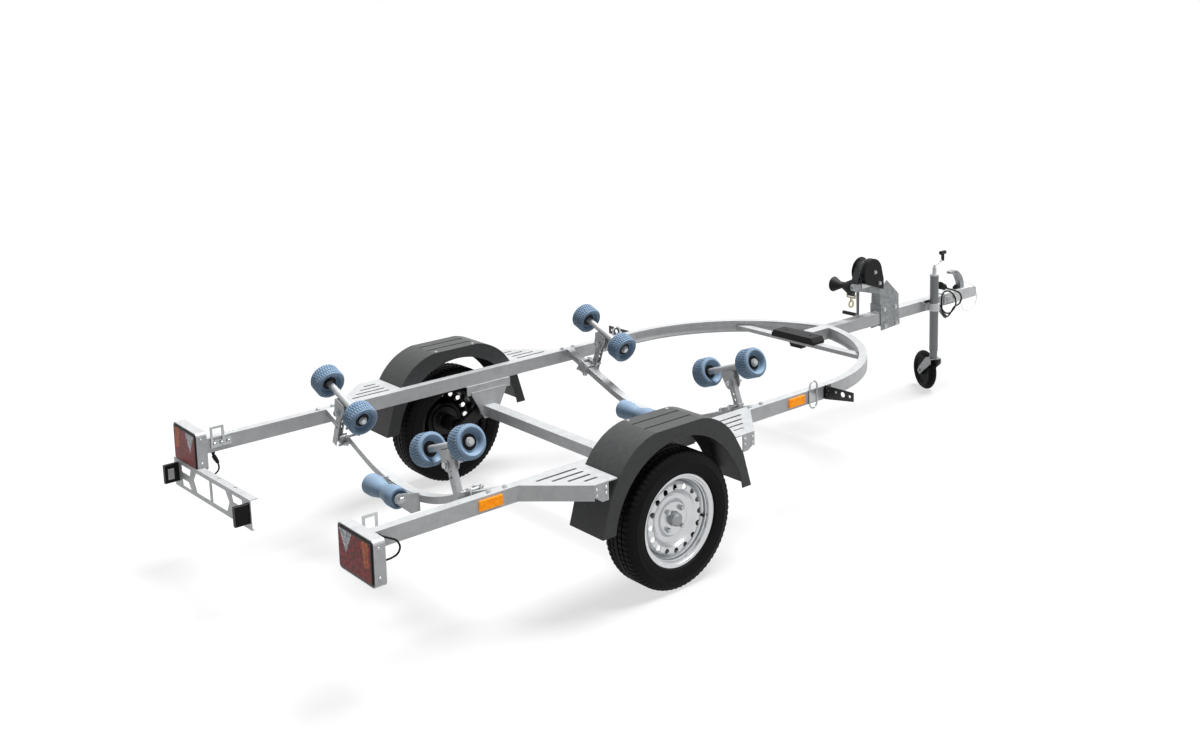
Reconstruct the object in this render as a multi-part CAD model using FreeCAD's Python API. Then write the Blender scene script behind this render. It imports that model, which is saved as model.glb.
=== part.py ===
import FreeCAD, Part
import math
import os

# Single-axle boat trailer. Millimetres, +X towards the coupling, +Y to the left, +Z up.
# The origin is on the ground, under the middle of the overall length.

V = FreeCAD.Vector

# ---- driving sizes -------------------------------------------------------------------------
LENGTH = 4543.0            # plate lamps to the nose of the coupling
AXLE_FROM_REAR = 1370.0    # plate lamps to the wheel centre
LAMP_FROM_REAR = 62.0      # plate lamps to the faces of the rear lamps
REAR_X = -LENGTH / 2
NOSE_X = LENGTH / 2
AXLE_X = REAR_X + AXLE_FROM_REAR
LAMP_X = REAR_X + LAMP_FROM_REAR
FRONT_L = NOSE_X - AXLE_X

RUN = 0.3                  # radial clearance of a turning fit
SIDE_PLAY = 0.8            # end float of a pivoted piece

# frame tubes
RAIL_W = 40.0
RAIL_H = 60.0
RAIL_WALL = 3.0
RAIL_Y = 636.0             # centre of a side rail
RAIL_Z = 475.0             # underside of the side rails
RAIL_TOP = RAIL_Z + RAIL_H
RAIL_IN = RAIL_Y - RAIL_W / 2
RAIL_OUT = RAIL_Y + RAIL_W / 2
RAIL_REAR_X = LAMP_X + 48.0
BOW_X = AXLE_X + 0.3388 * FRONT_L    # where the straight rails end and the bow begins
BOW_R = 792.0              # inner radius of the bow
BOW_GROOVE = 7.0           # depth of the pressed-in inner wall of the bow
BOW_GROOVE_H = 44.0
DRAWBAR_W = 60.0
DRAWBAR_WALL = 4.0
DRAWBAR_REAR_X = BOW_X + 637.0
DRAWBAR_BEVEL = 95.0       # how much shorter the underside is at the rear end
DRAWBAR_FRONT_X = NOSE_X - 235.0

# dropped crossmembers: an arc in the middle and two straight legs
CROSS_W = 40.0
CROSS_H = 28.0
CROSS_WALL = 3.0
CROSS_SLOPE = 21.0         # degrees, of the legs
CROSS_R = 820.0            # radius of the top of the arc
CROSS_REAR_X = AXLE_X - 708.0    # rear faces
CROSS_FRONT_X = AXLE_X + 0.1954 * FRONT_L

# bar across the bow, and its keel pad
BOW_BAR_X = BOW_X + 537.0
BOW_BAR_W = 48.0
BOW_BAR_H = 20.0
BOW_BAR_Z = RAIL_Z + 15.0
PAD_L = 280.0
PAD_W = 84.0
PAD_H = 34.0
PAD_BOLT_Y = 80.0
PAD_BOLT_R = 6.0
BUMPER_L = 90.0
BUMPER_H = 22.0

# axle
TYRE_D = 547.0
TYRE_W = 155.0
TYRE_SIDE_WALL = 9.0
TYRE_TREAD_T = 15.0
RIM_FLANGE_R = 183.0
RIM_SEAT_R = RIM_FLANGE_R - 18.0
RIM_HALF_W = 64.0
WHEEL_Y = 772.0
WHEEL_Z = TYRE_D / 2
VENT_COUNT = 16
VENT_R = 11.6
VENT_PCR = 127.0
BOLT_COUNT = 4
BOLT_PCR = 50.0
WHEEL_BOLT_R = 6.5
HUB_BORE_R = 28.5
BEAM_W = 60.0
BEAM_H = 50.0
BEAM_WALL = 4.0
BEAM_X = AXLE_X + 130.0
BEAM_Z = 345.0
BEAM_END_Y = RAIL_Y + 4.0
ARM_T = 25.0
ARM_R = 32.0
SPINDLE_R = 15.0
HANGER_L = 246.0
HANGER_H = 43.0
HANGER_T = 5.0
HANGER_IN = RAIL_IN - 10.0

# mudguards and step plates, seen from a point just behind the wheel centre
GUARD_X = AXLE_X - 7.0
GUARD_T = 4.0
GUARD_OUT = WHEEL_Y + 78.0
GUARD_ARCH_GAP = 61.5      # tyre to the edge of the side walls
GUARD_FLAT = 120.0         # half length of the flat top
GUARD_TOP = WHEEL_Z + 384.5
GUARD_HAUNCH = (300.0, 266.5)    # end of the rounded shoulder, from the wheel centre
GUARD_WAIST = (345.0, 188.5)
GUARD_TIP = (388.0, 44.5)
GUARD_GROOVE_W = 10.0
GUARD_GROOVE_DEPTH = 2.5
STEP_T = 4.0
STEP_START = 307.0
STEP_X = AXLE_X - 9.0
STEP_SQUARE = 416.0
STEP_ENDS = {1: 593.0, -1: 616.0}    # front and rear plate, from the middle to the tip
STEP_OUT = GUARD_OUT - 4.0
STEP_SKIRT_START = 350.0
STEP_CORNER = 36.0         # bevelled lower corner of the skirt
STEP_DROP = 12.0           # skirt below the rails
STEP_SLOT_START = 362.0
STEP_SLOT_W = 12.0
STEP_SLOTS = 4
STEP_SLOT_PITCH = 40.0
STEP_SLOT_MARGIN = 62.0

# hull rollers on rockers
ROLLER_R = 65.0
ROLLER_W = 75.0
ROLLER_IN = 103.0          # rocker centre to the near face of a roller
ROLLER_RECESS_R = 47.0
ROLLER_RECESS = 20.0
SHAFT_R = 10.0
SLEEVE_R = 14.0
NUT_T = 9.0
ROCKER_H = 65.0            # pivot to shaft
ROCKER_T = 5.0
ROCKER_TOP_W = 76.0
ROCKER_EYE_R = 29.0        # round lower end of a rocker's plates
ROCKER_TILT = 20.0         # degrees, rest tilt of the shafts
PIVOT_R = 8.0
POST_W = 30.0
POST_D = 26.0
POST_T = 4.0
POST_GAP = 24.0            # crossmember to post, filled by the clamp's plate and a spacer
POST_HOLE_R = 5.5
POST_HOLE_PITCH = 25.0
CLAMP_T = 8.0
CLAMP_HALF = 34.0
CLAMP_BOLT_R = 5.0
CLAMP_BOLT_TAIL = 34.0      # thread that stands out behind a post's clamp
REAR_PIVOT = (409.0, 582.0)     # y, z of the rear rocker pivots
FRONT_PIVOT = (445.0, 583.0)
PIVOT_NUT = 26.0           # length of nut and thread in front of a rocker

# keel rollers
KEEL_L = 215.0
KEEL_R = 43.0
KEEL_WAIST_R = 31.0
KEEL_BACK = 86.0           # crossmember's rear face to the roller's axis
KEEL_Z = 371.0
KEEL_EAR_T = 5.0
KEEL_PIN_R = 10.0

# lamps and plate holder
LAMP_IN = 577.0
LAMP_OUT = 809.0
LAMP_Z = 418.0
LAMP_TOP = 578.0
LAMP_BOX_T = 3.0
LAMP_CORNER_R = 16.0
LENS_PROUD = 5.0
LAMP_LEAD_R = 3.5
HOLDER_BACK = 3.0          # lamp faces forward to the holder's face
HOLDER_OUT = 806.0         # outer end of the plate holder
HOLDER_L = 724.0
HOLDER_Z = 309.0           # lower edge at the outer end
HOLDER_H = 118.0
HOLDER_SLOPE = 2.0         # degrees up towards the middle of the trailer
HOLDER_T = 3.0
HOLDER_FLANGE = 32.0
HOLDER_LIP = 12.0
HOLDER_TAB = 28.0          # flange to the underside of the lamp box
PLATE_LAMP_W = 20.0
PLATE_LAMP_H = 78.0
PLATE_LAMP_RISE = 26.0     # above the holder's lower edge
PLATE_LAMP_INSET = (26.0, 6.0)      # from the holder's outer and inner end

# windows in half of the holder: corners as (from its middle, above its lower edge)
HOLDER_WINDOWS = (
    ((10.0, 18.0), (10.0, 100.0), (141.0, 101.0), (173.0, 62.0), (146.0, 18.0)),
    ((192.0, 101.0), (290.0, 101.0), (290.0, 74.0), (280.0, 70.0), (205.0, 70.0)),
    ((221.0, 43.0), (290.0, 43.0), (287.0, 13.0), (196.0, 13.0)),
)

# small fittings
STAPLE_BAR = 8.0
STAPLE_L = 56.0
STAPLE_H = 46.0            # above the rail
STAPLE_PLATE = (88.0, 30.0, 5.0)
STAPLE_BOLT_R = 6.5
REAR_STAPLE_X = RAIL_REAR_X + 58.0     # middle of the staple
RING_BAR_R = 4.0
RING_HALF = 24.0           # half width of a front tie-down ring, to the bar's centre
RING_Z = (RAIL_Z + 2.0, RAIL_TOP + 15.0)    # centres of its two bends
RING_X = BOW_X - 94.0
REFLECTOR = (98.0, 36.0, 7.0)
REFLECTOR_X = (CROSS_REAR_X - 38.0, BOW_X - 201.0)
MARKER_X = BOW_X - 13.0
MARKER_L = 160.0
MARKER_T = 4.0
MARKER_Z = (RAIL_Z - 2.0, RAIL_Z + 22.0)     # lower edge, at the rail and at the tip
MARKER_TOP = RAIL_TOP + 2.0
MARKER_TAB = 34.0

# holes of a marker bracket: reach from the rail, height above the rail's underside, radius
MARKER_HOLES = (
    (10.0, 52.0, 3.0),
    (21.0, 41.0, 3.0),
    (10.0, 20.0, 3.0),
    (63.0, 43.0, 6.0),
    (101.0, 41.0, 12.0),
    (139.0, 41.0, 6.5),
)

# winch post
WINCH_CLAMP_X = (NOSE_X - 907.0, NOSE_X - 740.0)
WINCH_CLAMP_Z = (RAIL_Z - 36.0, RAIL_TOP + 46.0)
WINCH_CLAMP_T = 6.0
WINCH_BOLT_R = 6.0
WINCH_BOLT_OFFSET = 17.0
COLUMN_T = 5.0
ARM_TAIL_X = WINCH_CLAMP_X[0] - 280.0    # axis of the bow roller
ARM_TAIL_Z = 730.0
ARM_BAR_H = 36.0
ARM_FORK_Y = 64.0          # inner faces of the arms at the bow roller
BOW_ROLLER_L = 120.0
BOW_ROLLER_R = 40.0
BOW_ROLLER_WAIST_R = 14.0
BOW_PIN_R = 8.0
WINCH_X = WINCH_CLAMP_X[0] - 96.0
WINCH_Z = 779.0
WINCH_FLANGE_R = 73.0
WINCH_WOUND_R = 56.0       # drum with the webbing wound on it
WINCH_COVER_R = 75.0
WINCH_COVER_T = 24.0
WINCH_SEAT_Z = WINCH_Z - WINCH_FLANGE_R - 8.0
STRAP_W = 44.0
STRAP_T = 3.0
HOOK_X = WINCH_X - 110.0
HOOK_TOP = 668.0
HOOK_H = 72.0
HOOK_R = 22.0
HOOK_BAR_R = 4.0
WINCH_PLATE_T = 4.0
WINCH_AXLE_R = 7.0
WINCH_IN = DRAWBAR_W / 2 + COLUMN_T - WINCH_PLATE_T   # half width between the frame plates
CRANK_X = WINCH_X + 29.0
CRANK_AXIS_Z = WINCH_Z - 59.0
CRANK_GRIP_Z = WINCH_Z - 259.0
CRANK_ARM_Y = 64.0         # inner face of the crank's arm
CRANK_ARM = (16.0, 6.0)
CRANK_GRIP_L = 96.0
CRANK_GRIP_R = 10.0

# jockey wheel
JOCKEY_X = NOSE_X - 469.0
JOCKEY_R = 24.0
JOCKEY_WALL = 2.5
JOCKEY_Y = -(DRAWBAR_W / 2 + 12.0 + JOCKEY_R)
JOCKEY_TUBE_Z = (248.0, 684.0)
JOCKEY_WHEEL_R = 110.0
JOCKEY_WHEEL_W = 50.0
JOCKEY_TRAIL = 98.0
JOCKEY_TURN = -117.0        # degrees that the fork is swivelled at rest
JOCKEY_STEM_R = JOCKEY_R - JOCKEY_WALL - RUN
JOCKEY_FORK_T = 5.0
JOCKEY_FORK_TOP = 206.0    # top of the fork crown
JOCKEY_PIN_R = 12.0

# coupling
BALL_R = 25.3
COUPLING_W = 64.0
COUPLING_GRIP_W = 32.0
COUPLING_BALL_X = NOSE_X - 48.0
COUPLING_TOP = RAIL_TOP + 3.0
COUPLING_Z = RAIL_Z + 12.0


# ---- shape helpers -------------------------------------------------------------------------
def block(x, y, z):
    """A box from three (low, high) pairs."""
    return Part.makeBox(x[1] - x[0], y[1] - y[0], z[1] - z[0], V(x[0], y[0], z[0]))


def rod(start, end, radius):
    """A round bar between two points."""
    a, b = V(*start), V(*end)
    return Part.makeCylinder(radius, (b - a).Length, a, b - a)


def pipe(start, end, radius, wall):
    """A round tube between two points."""
    return rod(start, end, radius).cut(rod(start, end, radius - wall))


def flat(outline, axis, start, depth):
    """A sheet: outline in the plane across the axis, extruded from start by depth.
    Outline entries are (a, b) corners, or (mid_a, mid_b, a, b) for an arc to (a, b)."""
    place = {
        "x": lambda a, b: V(start, a, b),
        "y": lambda a, b: V(a, start, b),
        "z": lambda a, b: V(a, b, start),
    }[axis]
    along = {"x": V(depth, 0, 0), "y": V(0, depth, 0), "z": V(0, 0, depth)}[axis]
    edges = outline_edges(outline, place)
    return Part.Face(Part.Wire(edges)).extrude(along)


def outline_edges(outline, place):
    """Edges of a closed outline whose first entry is a corner."""
    here = place(*outline[0])
    edges = []
    for entry in outline[1:] + [outline[0]]:
        there = place(*entry[-2:])
        if (there - here).Length < 1e-6:
            continue
        if len(entry) == 4:
            edges.append(Part.Arc(here, place(*entry[:2]), there).toShape())
        else:
            edges.append(Part.LineSegment(here, there).toShape())
        here = there
    return edges


def lathe(outline, centre, direction):
    """A turned piece: outline of (along, radius) corners, turned about the direction."""
    edges = outline_edges(outline, lambda a, r: V(r, 0, a))
    turned = Part.Face(Part.Wire(edges)).revolve(V(0, 0, 0), V(0, 0, 1), 360)
    turned.Placement = FreeCAD.Placement(V(*centre), FreeCAD.Rotation(V(0, 0, 1), V(*direction)))
    return turned


def link(a, b, radius_a, radius_b, axis, start, depth):
    """A flat link with round ends about points a and b in the plane across the axis."""
    dx, dy = b[0] - a[0], b[1] - a[1]
    reach = math.hypot(dx, dy)
    heading = math.atan2(dy, dx)
    swing = math.acos((radius_a - radius_b) / reach)

    def rim(centre, radius, angle):
        return (centre[0] + radius * math.cos(angle), centre[1] + radius * math.sin(angle))

    up, down = heading + swing, heading - swing
    outline = [
        rim(a, radius_a, down),
        rim(b, radius_b, down),
        rim(b, radius_b, heading) + rim(b, radius_b, up),
        rim(a, radius_a, up),
        rim(a, radius_a, heading + math.pi) + rim(a, radius_a, down),
    ]
    return flat(outline, axis, start, depth)


def fused(shapes):
    """One solid from pieces that overlap or touch."""
    whole = shapes[0].fuse(shapes[1:])
    return whole.removeSplitter()


def group(shapes):
    """Separate solids kept in one node."""
    return Part.makeCompound(shapes)


def mirrored(shape):
    """The same piece on the other side of the trailer."""
    return shape.mirror(V(0, 0, 0), V(0, 1, 0))


def pair(shape):
    return group([shape, mirrored(shape)])


def cord(name, points, radius):
    """A round lead along straight runs joined by arcs as large as the runs allow.
    Prints its length, its tightest bend and its volume against section times length."""
    corners = [V(*p) for p in points]
    edges = []
    bends = []
    here = corners[0]
    for before, corner, after in zip(corners, corners[1:], corners[2:]):
        back, ahead = before - corner, after - corner
        reach = 0.45 * min(back.Length, ahead.Length)
        back.normalize()
        ahead.normalize()
        half_turn = (math.pi - back.getAngle(ahead)) / 2
        bend_r = reach / math.tan(half_turn)
        bends.append(bend_r)
        inward = (back + ahead).normalize()
        start, end = corner + back * reach, corner + ahead * reach
        mid = corner + inward * (bend_r / math.cos(half_turn) - bend_r)
        edges.append(Part.LineSegment(here, start).toShape())
        edges.append(Part.Arc(start, mid, end).toShape())
        here = end
    edges.append(Part.LineSegment(here, corners[-1]).toShape())
    path = Part.Wire(edges)
    ring = Part.Wire(Part.makeCircle(radius, corners[0], corners[1] - corners[0]))
    tube = path.makePipeShell([ring], True, False)
    filled = tube.Volume / (math.pi * radius ** 2 * path.Length)
    print(name, "length", round(path.Length), "tightest bend", round(min(bends), 1))
    print(name, "volume against section times length", round(filled, 4))
    return tube


def save(name, shape):
    shape.exportStep("parts/" + name + ".step")


# ---- frame ---------------------------------------------------------------------------------
def side_rail():
    """Straight rectangular tube, left side."""
    outer = block((RAIL_REAR_X, BOW_X), (RAIL_IN, RAIL_OUT), (RAIL_Z, RAIL_TOP))
    hollow = block(
        (RAIL_REAR_X, BOW_X),
        (RAIL_IN + RAIL_WALL, RAIL_OUT - RAIL_WALL),
        (RAIL_Z + RAIL_WALL, RAIL_TOP - RAIL_WALL),
    )
    return outer.cut(hollow)


def bow_turn():
    """Turn in degrees that takes the bow's outer wall past the side of the drawbar."""
    centre_y = RAIL_IN - BOW_R
    return math.degrees(math.acos((DRAWBAR_W / 2 - centre_y) / (BOW_R + RAIL_W))) + 3.0


def bow_bend(section):
    """A section of the rail, carried round the left half of the bow."""
    edges = outline_edges(section, lambda y, z: V(BOW_X, y, z))
    face = Part.Face(Part.Wire(edges))
    return face.revolve(V(BOW_X, RAIL_IN - BOW_R, 0), V(0, 0, 1), -bow_turn())


def bow_outside():
    """The bow's left half without its hollow. Bending has pressed its inner wall in
    to a shallow groove."""
    mid_z = RAIL_Z + RAIL_H / 2
    groove = BOW_GROOVE_H / 2
    return bow_bend([
        (RAIL_IN, RAIL_Z),
        (RAIL_OUT, RAIL_Z),
        (RAIL_OUT, RAIL_TOP),
        (RAIL_IN, RAIL_TOP),
        (RAIL_IN, mid_z + groove),
        (RAIL_IN + BOW_GROOVE, mid_z, RAIL_IN, mid_z - groove),
    ])


def bow_half():
    """Left half of the bow: the rail's tube bent round to the side of the drawbar."""
    hollow = bow_bend([
        (RAIL_IN + BOW_GROOVE + RAIL_WALL, RAIL_Z + RAIL_WALL),
        (RAIL_OUT - RAIL_WALL, RAIL_Z + RAIL_WALL),
        (RAIL_OUT - RAIL_WALL, RAIL_TOP - RAIL_WALL),
        (RAIL_IN + BOW_GROOVE + RAIL_WALL, RAIL_TOP - RAIL_WALL),
    ])
    far_side = block((BOW_X, NOSE_X), (-RAIL_OUT, DRAWBAR_W / 2), (0, RAIL_TOP + RAIL_H))
    return bow_outside().cut([hollow, far_side])


def drawbar():
    """Square tube from behind the bow to the coupling, its rear end cut on a slant."""
    side = [
        (DRAWBAR_REAR_X, RAIL_TOP),
        (DRAWBAR_REAR_X + DRAWBAR_BEVEL, RAIL_Z),
        (DRAWBAR_FRONT_X, RAIL_Z),
        (DRAWBAR_FRONT_X, RAIL_TOP),
    ]
    half = DRAWBAR_W / 2
    outer = flat(side, "y", -half, DRAWBAR_W)
    hollow = block(
        (DRAWBAR_REAR_X - 1, DRAWBAR_FRONT_X),
        (DRAWBAR_WALL - half, half - DRAWBAR_WALL),
        (RAIL_Z + DRAWBAR_WALL, RAIL_TOP - DRAWBAR_WALL),
    )
    end_x, end_y, rise = PLUG_LEAD[0]
    gland = block(
        (JOCKEY_X + end_x - 16, JOCKEY_X + end_x),
        (end_y - LEAD_R - 1.5, -half),
        (RAIL_Z + rise - LEAD_R - 2, RAIL_Z + rise + LEAD_R + 2),
    )
    return fused([outer.cut(hollow), gland])


def cross_top(y):
    """Height of a crossmember's top above the ground at a distance from the middle."""
    slope = math.radians(CROSS_SLOPE)
    legs = RAIL_TOP - (RAIL_IN - abs(y)) * math.tan(slope)
    tangent_y = CROSS_R * math.sin(slope)
    if abs(y) >= tangent_y:
        return legs
    centre_z = RAIL_TOP - (RAIL_IN - tangent_y) * math.tan(slope) + CROSS_R * math.cos(slope)
    return centre_z - math.sqrt(CROSS_R ** 2 - y ** 2)


def cross_layer(depth_top, depth_bottom, x0, x1):
    """The part of a crossmember between two depths below its top surface."""
    slope = math.radians(CROSS_SLOPE)
    tangent_y = CROSS_R * math.sin(slope)
    centre_z = RAIL_TOP - (RAIL_IN - tangent_y) * math.tan(slope) + CROSS_R * math.cos(slope)
    corners = []
    for depth in (depth_top, depth_bottom):
        radius = CROSS_R + depth
        y_turn = radius * math.sin(slope)
        z_turn = centre_z - radius * math.cos(slope)
        z_end = z_turn + (RAIL_IN - y_turn) * math.tan(slope)
        corners.append((y_turn, z_turn, z_end, centre_z - radius))
    (ty, tz, te, tm), (by, bz, be, bm) = corners
    outline = [
        (-RAIL_IN, te),
        (-ty, tz),
        (0, tm, ty, tz),
        (RAIL_IN, te),
        (RAIL_IN, be),
        (by, bz),
        (0, bm, -by, bz),
        (-RAIL_IN, be),
    ]
    return flat(outline, "x", x0, x1 - x0)


def crossmember(rear_face):
    """Rectangular tube bent down between the rails so that a keel clears it."""
    front_face = rear_face + CROSS_W
    outer = cross_layer(0, CROSS_H, rear_face, front_face)
    hollow = cross_layer(
        CROSS_WALL, CROSS_H - CROSS_WALL, rear_face + CROSS_WALL, front_face - CROSS_WALL
    )
    return outer.cut(hollow)


def bow_bar():
    """Flat tube across the inside of the bow, cut to the bow's inner wall."""
    bar = block(
        (BOW_BAR_X, BOW_BAR_X + BOW_BAR_W),
        (-RAIL_IN, RAIL_IN),
        (BOW_BAR_Z, BOW_BAR_Z + BOW_BAR_H),
    )
    lengths = bar.cut([bow_outside(), mirrored(bow_outside())]).Solids
    return max(lengths, key=lambda length: length.Volume)


def keel_pad():
    """Rubber pad with sloping sides that the bow's keel comes to rest on."""
    z0 = BOW_BAR_Z + BOW_BAR_H
    x0 = BOW_BAR_X - (PAD_W - BOW_BAR_W) / 2 - 4
    half = PAD_L / 2
    outline = [
        (-half, z0),
        (half, z0),
        (half, z0 + PAD_H * 0.4),
        (half - 14, z0 + PAD_H),
        (14 - half, z0 + PAD_H),
        (-half, z0 + PAD_H * 0.4),
    ]
    pad = flat(outline, "x", x0, PAD_W)
    for y in (-PAD_BOLT_Y, PAD_BOLT_Y):
        x = BOW_BAR_X + BOW_BAR_W / 2
        pad = pad.cut(rod((x, y, z0 + PAD_H - 12), (x, y, z0 + PAD_H + 1), PAD_BOLT_R))
    return pad


def pad_bumper():
    """Rubber block bolted under the bar, below the pad."""
    x0 = BOW_BAR_X + 6
    top = BOW_BAR_Z
    half = BUMPER_L / 2
    outline = [(-half, top), (10 - half, top - BUMPER_H), (half - 10, top - BUMPER_H), (half, top)]
    return flat(outline, "x", x0, BOW_BAR_W - 12)


# ---- axle and wheels -----------------------------------------------------------------------
def axle_beam():
    """Rectangular tube that holds the rubber torsion units."""
    x = (BEAM_X - BEAM_W / 2, BEAM_X + BEAM_W / 2)
    z = (BEAM_Z - BEAM_H / 2, BEAM_Z + BEAM_H / 2)
    outer = block(x, (-BEAM_END_Y, BEAM_END_Y), z)
    hollow = block(
        (x[0] + BEAM_WALL, x[1] - BEAM_WALL),
        (BEAM_WALL - BEAM_END_Y, BEAM_END_Y - BEAM_WALL),
        (z[0] + BEAM_WALL, z[1] - BEAM_WALL),
    )
    return outer.cut(hollow)


def axle_hanger():
    """Folded bracket under the rail with a tapered plate down to the axle beam."""
    x0 = BEAM_X - HANGER_L / 2 + 5
    x1 = x0 + HANGER_L
    z_step = RAIL_Z - HANGER_H
    top = block((x0, x1), (HANGER_IN, RAIL_OUT), (RAIL_Z - HANGER_T, RAIL_Z))
    web = block((x0, x1), (HANGER_IN, HANGER_IN + HANGER_T), (z_step, RAIL_Z))
    foot = BEAM_Z - BEAM_H / 2 - 14
    gusset = flat(
        [
            (x0 + 22, z_step + 12),
            (x1 - 26, z_step + 12),
            (x1 - 26, z_step),
            (BEAM_X + BEAM_W / 2 + 8, foot),
            (BEAM_X - BEAM_W / 2 + 2, foot),
            (x0 + 22, z_step),
        ],
        "y",
        HANGER_IN - HANGER_T,
        HANGER_T,
    )
    beam = block(
        (BEAM_X - BEAM_W / 2, BEAM_X + BEAM_W / 2),
        (0, RAIL_OUT),
        (BEAM_Z - BEAM_H / 2, BEAM_Z + BEAM_H / 2),
    )
    return fused([top, web, gusset]).cut(beam)


def swing_arm():
    """Trailing arm with the spindle that the hub turns on."""
    pivot = (BEAM_X, BEAM_Z)
    wheel = (AXLE_X, WHEEL_Z)
    arm = link(pivot, wheel, ARM_R, ARM_R - 6, "y", BEAM_END_Y, ARM_T)
    inner_y = BEAM_END_Y + ARM_T / 2
    spindle = rod((AXLE_X, inner_y, WHEEL_Z), (AXLE_X, WHEEL_Y + 18, WHEEL_Z), SPINDLE_R)
    collar = rod((AXLE_X, inner_y, WHEEL_Z), (AXLE_X, WHEEL_Y - 88, WHEEL_Z), SPINDLE_R + 7)
    return fused([arm, collar, spindle])


def wheel_hub():
    """Turned hub with its wheel flange and grease cap."""
    bore = SPINDLE_R + RUN
    outline = [
        (-86, bore),
        (-86, 36),
        (12, 36),
        (12, BOLT_PCR + 17),
        (27, BOLT_PCR + 17),
        (27, HUB_BORE_R - RUN),
        (50, HUB_BORE_R - 2),
        (58, 18),
        (58, 0),
        (20, 0),
        (20, bore),
    ]
    return lathe(outline, (AXLE_X, WHEEL_Y, WHEEL_Z), (0, 1, 0))


def rim():
    """Steel rim with a vented, dished disc."""
    w, f, s = RIM_HALF_W, RIM_FLANGE_R, RIM_SEAT_R
    barrel = [
        (-w, f),
        (4 - w, f),
        (8 - w, s),
        (-34, s - 2),
        (-24, s - 15),
        (14, s - 15),
        (28, s - 2),
        (w - 8, s),
        (w - 4, f),
        (w, f),
        (w, f - 4),
        (w - 4.6, s - 3),
        (29, s - 5),
        (15, s - 18),
        (-25, s - 18),
        (-35, s - 5),
        (4.6 - w, s - 3),
        (-w, f - 4),
    ]
    disc = [
        (4, s - 17),
        (8, s - 17),
        (34, VENT_PCR + 13),
        (38, VENT_PCR - 14),
        (41, 92),
        (39, 78),
        (31, BOLT_PCR + 18),
        (31, HUB_BORE_R),
        (27, HUB_BORE_R),
        (27, BOLT_PCR + 19),
        (35, 80),
        (37, 92),
        (34, VENT_PCR - 15),
        (30, VENT_PCR + 11),
    ]
    centre = (AXLE_X, WHEEL_Y, WHEEL_Z)
    wheel = fused([lathe(barrel, centre, (0, 1, 0)), lathe(disc, centre, (0, 1, 0))])
    holes = []
    for count, reach, radius in ((VENT_COUNT, VENT_PCR, VENT_R), (BOLT_COUNT, BOLT_PCR, WHEEL_BOLT_R)):
        for i in range(count):
            angle = 2 * math.pi * (i + 0.5) / count
            x = AXLE_X + reach * math.cos(angle)
            z = WHEEL_Z + reach * math.sin(angle)
            holes.append(rod((x, WHEEL_Y, z), (x, WHEEL_Y + RIM_HALF_W, z), radius))
    return wheel.cut(holes)


def tyre():
    """Plain tyre body: flat tread, rounded shoulders, bulged side walls, hollow inside."""
    tread = TYRE_D / 2
    half = TYRE_W / 2
    bead = RIM_HALF_W - 8
    inner = half - TYRE_SIDE_WALL
    belly = (RIM_SEAT_R + tread) / 2
    outline = [
        (-bead, RIM_SEAT_R),
        (half * -0.9, RIM_FLANGE_R + 2, -half, belly),
        (half * -0.96, tread - 26, half * -0.82, tread - 8),
        (half * -0.74, tread - 2, half * -0.62, tread),
        (half * 0.62, tread),
        (half * 0.74, tread - 2, half * 0.82, tread - 8),
        (half * 0.96, tread - 26, half, belly),
        (half * 0.9, RIM_FLANGE_R + 2, bead, RIM_SEAT_R),
        (bead - 14, RIM_SEAT_R),
        (bead - 14, RIM_FLANGE_R + 4),
        (inner, belly),
        (inner - 16, tread - TYRE_TREAD_T),
        (16 - inner, tread - TYRE_TREAD_T),
        (-inner, belly),
        (14 - bead, RIM_FLANGE_R + 4),
        (14 - bead, RIM_SEAT_R),
    ]
    ring = lathe(outline, (AXLE_X, WHEEL_Y, WHEEL_Z), (0, 1, 0))
    flanges = []
    for side in (-1, 1):
        near = side * (RIM_HALF_W - 10)
        far = side * (RIM_HALF_W + 40)
        flange = [(near, 0), (near, RIM_FLANGE_R + 1), (far, RIM_FLANGE_R + 1), (far, 0)]
        flanges.append(lathe(flange, (AXLE_X, WHEEL_Y, WHEEL_Z), (0, 1, 0)))
    return ring.cut(flanges)


# ---- mudguards and steps -------------------------------------------------------------------
def guard_outline(inset, foot):
    """Side view of a mudguard, drawn in by a wall thickness and run down to a foot height."""
    top = GUARD_TOP - inset
    haunch = (GUARD_HAUNCH[0] - inset, WHEEL_Z + GUARD_HAUNCH[1] - inset * 0.5)
    waist = (GUARD_WAIST[0] - inset, WHEEL_Z + GUARD_WAIST[1] - inset * 0.3)
    tip = (GUARD_TIP[0] - inset, foot)
    mid = (
        (GUARD_FLAT + haunch[0]) / 2 + 12,
        (top + haunch[1]) / 2 + 20,
    )
    right = [
        (GUARD_FLAT, top),
        mid + haunch,
        waist,
        tip,
    ]
    left = [
        (-tip[0], tip[1]),
        (-waist[0], waist[1]),
        (-haunch[0], haunch[1]),
        (-mid[0], mid[1], -GUARD_FLAT, top),
    ]
    shifted = []
    for entry in right + left:
        moved = list(entry)
        for i in range(0, len(entry), 2):
            moved[i] += GUARD_X
        shifted.append(tuple(moved))
    return shifted


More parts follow.
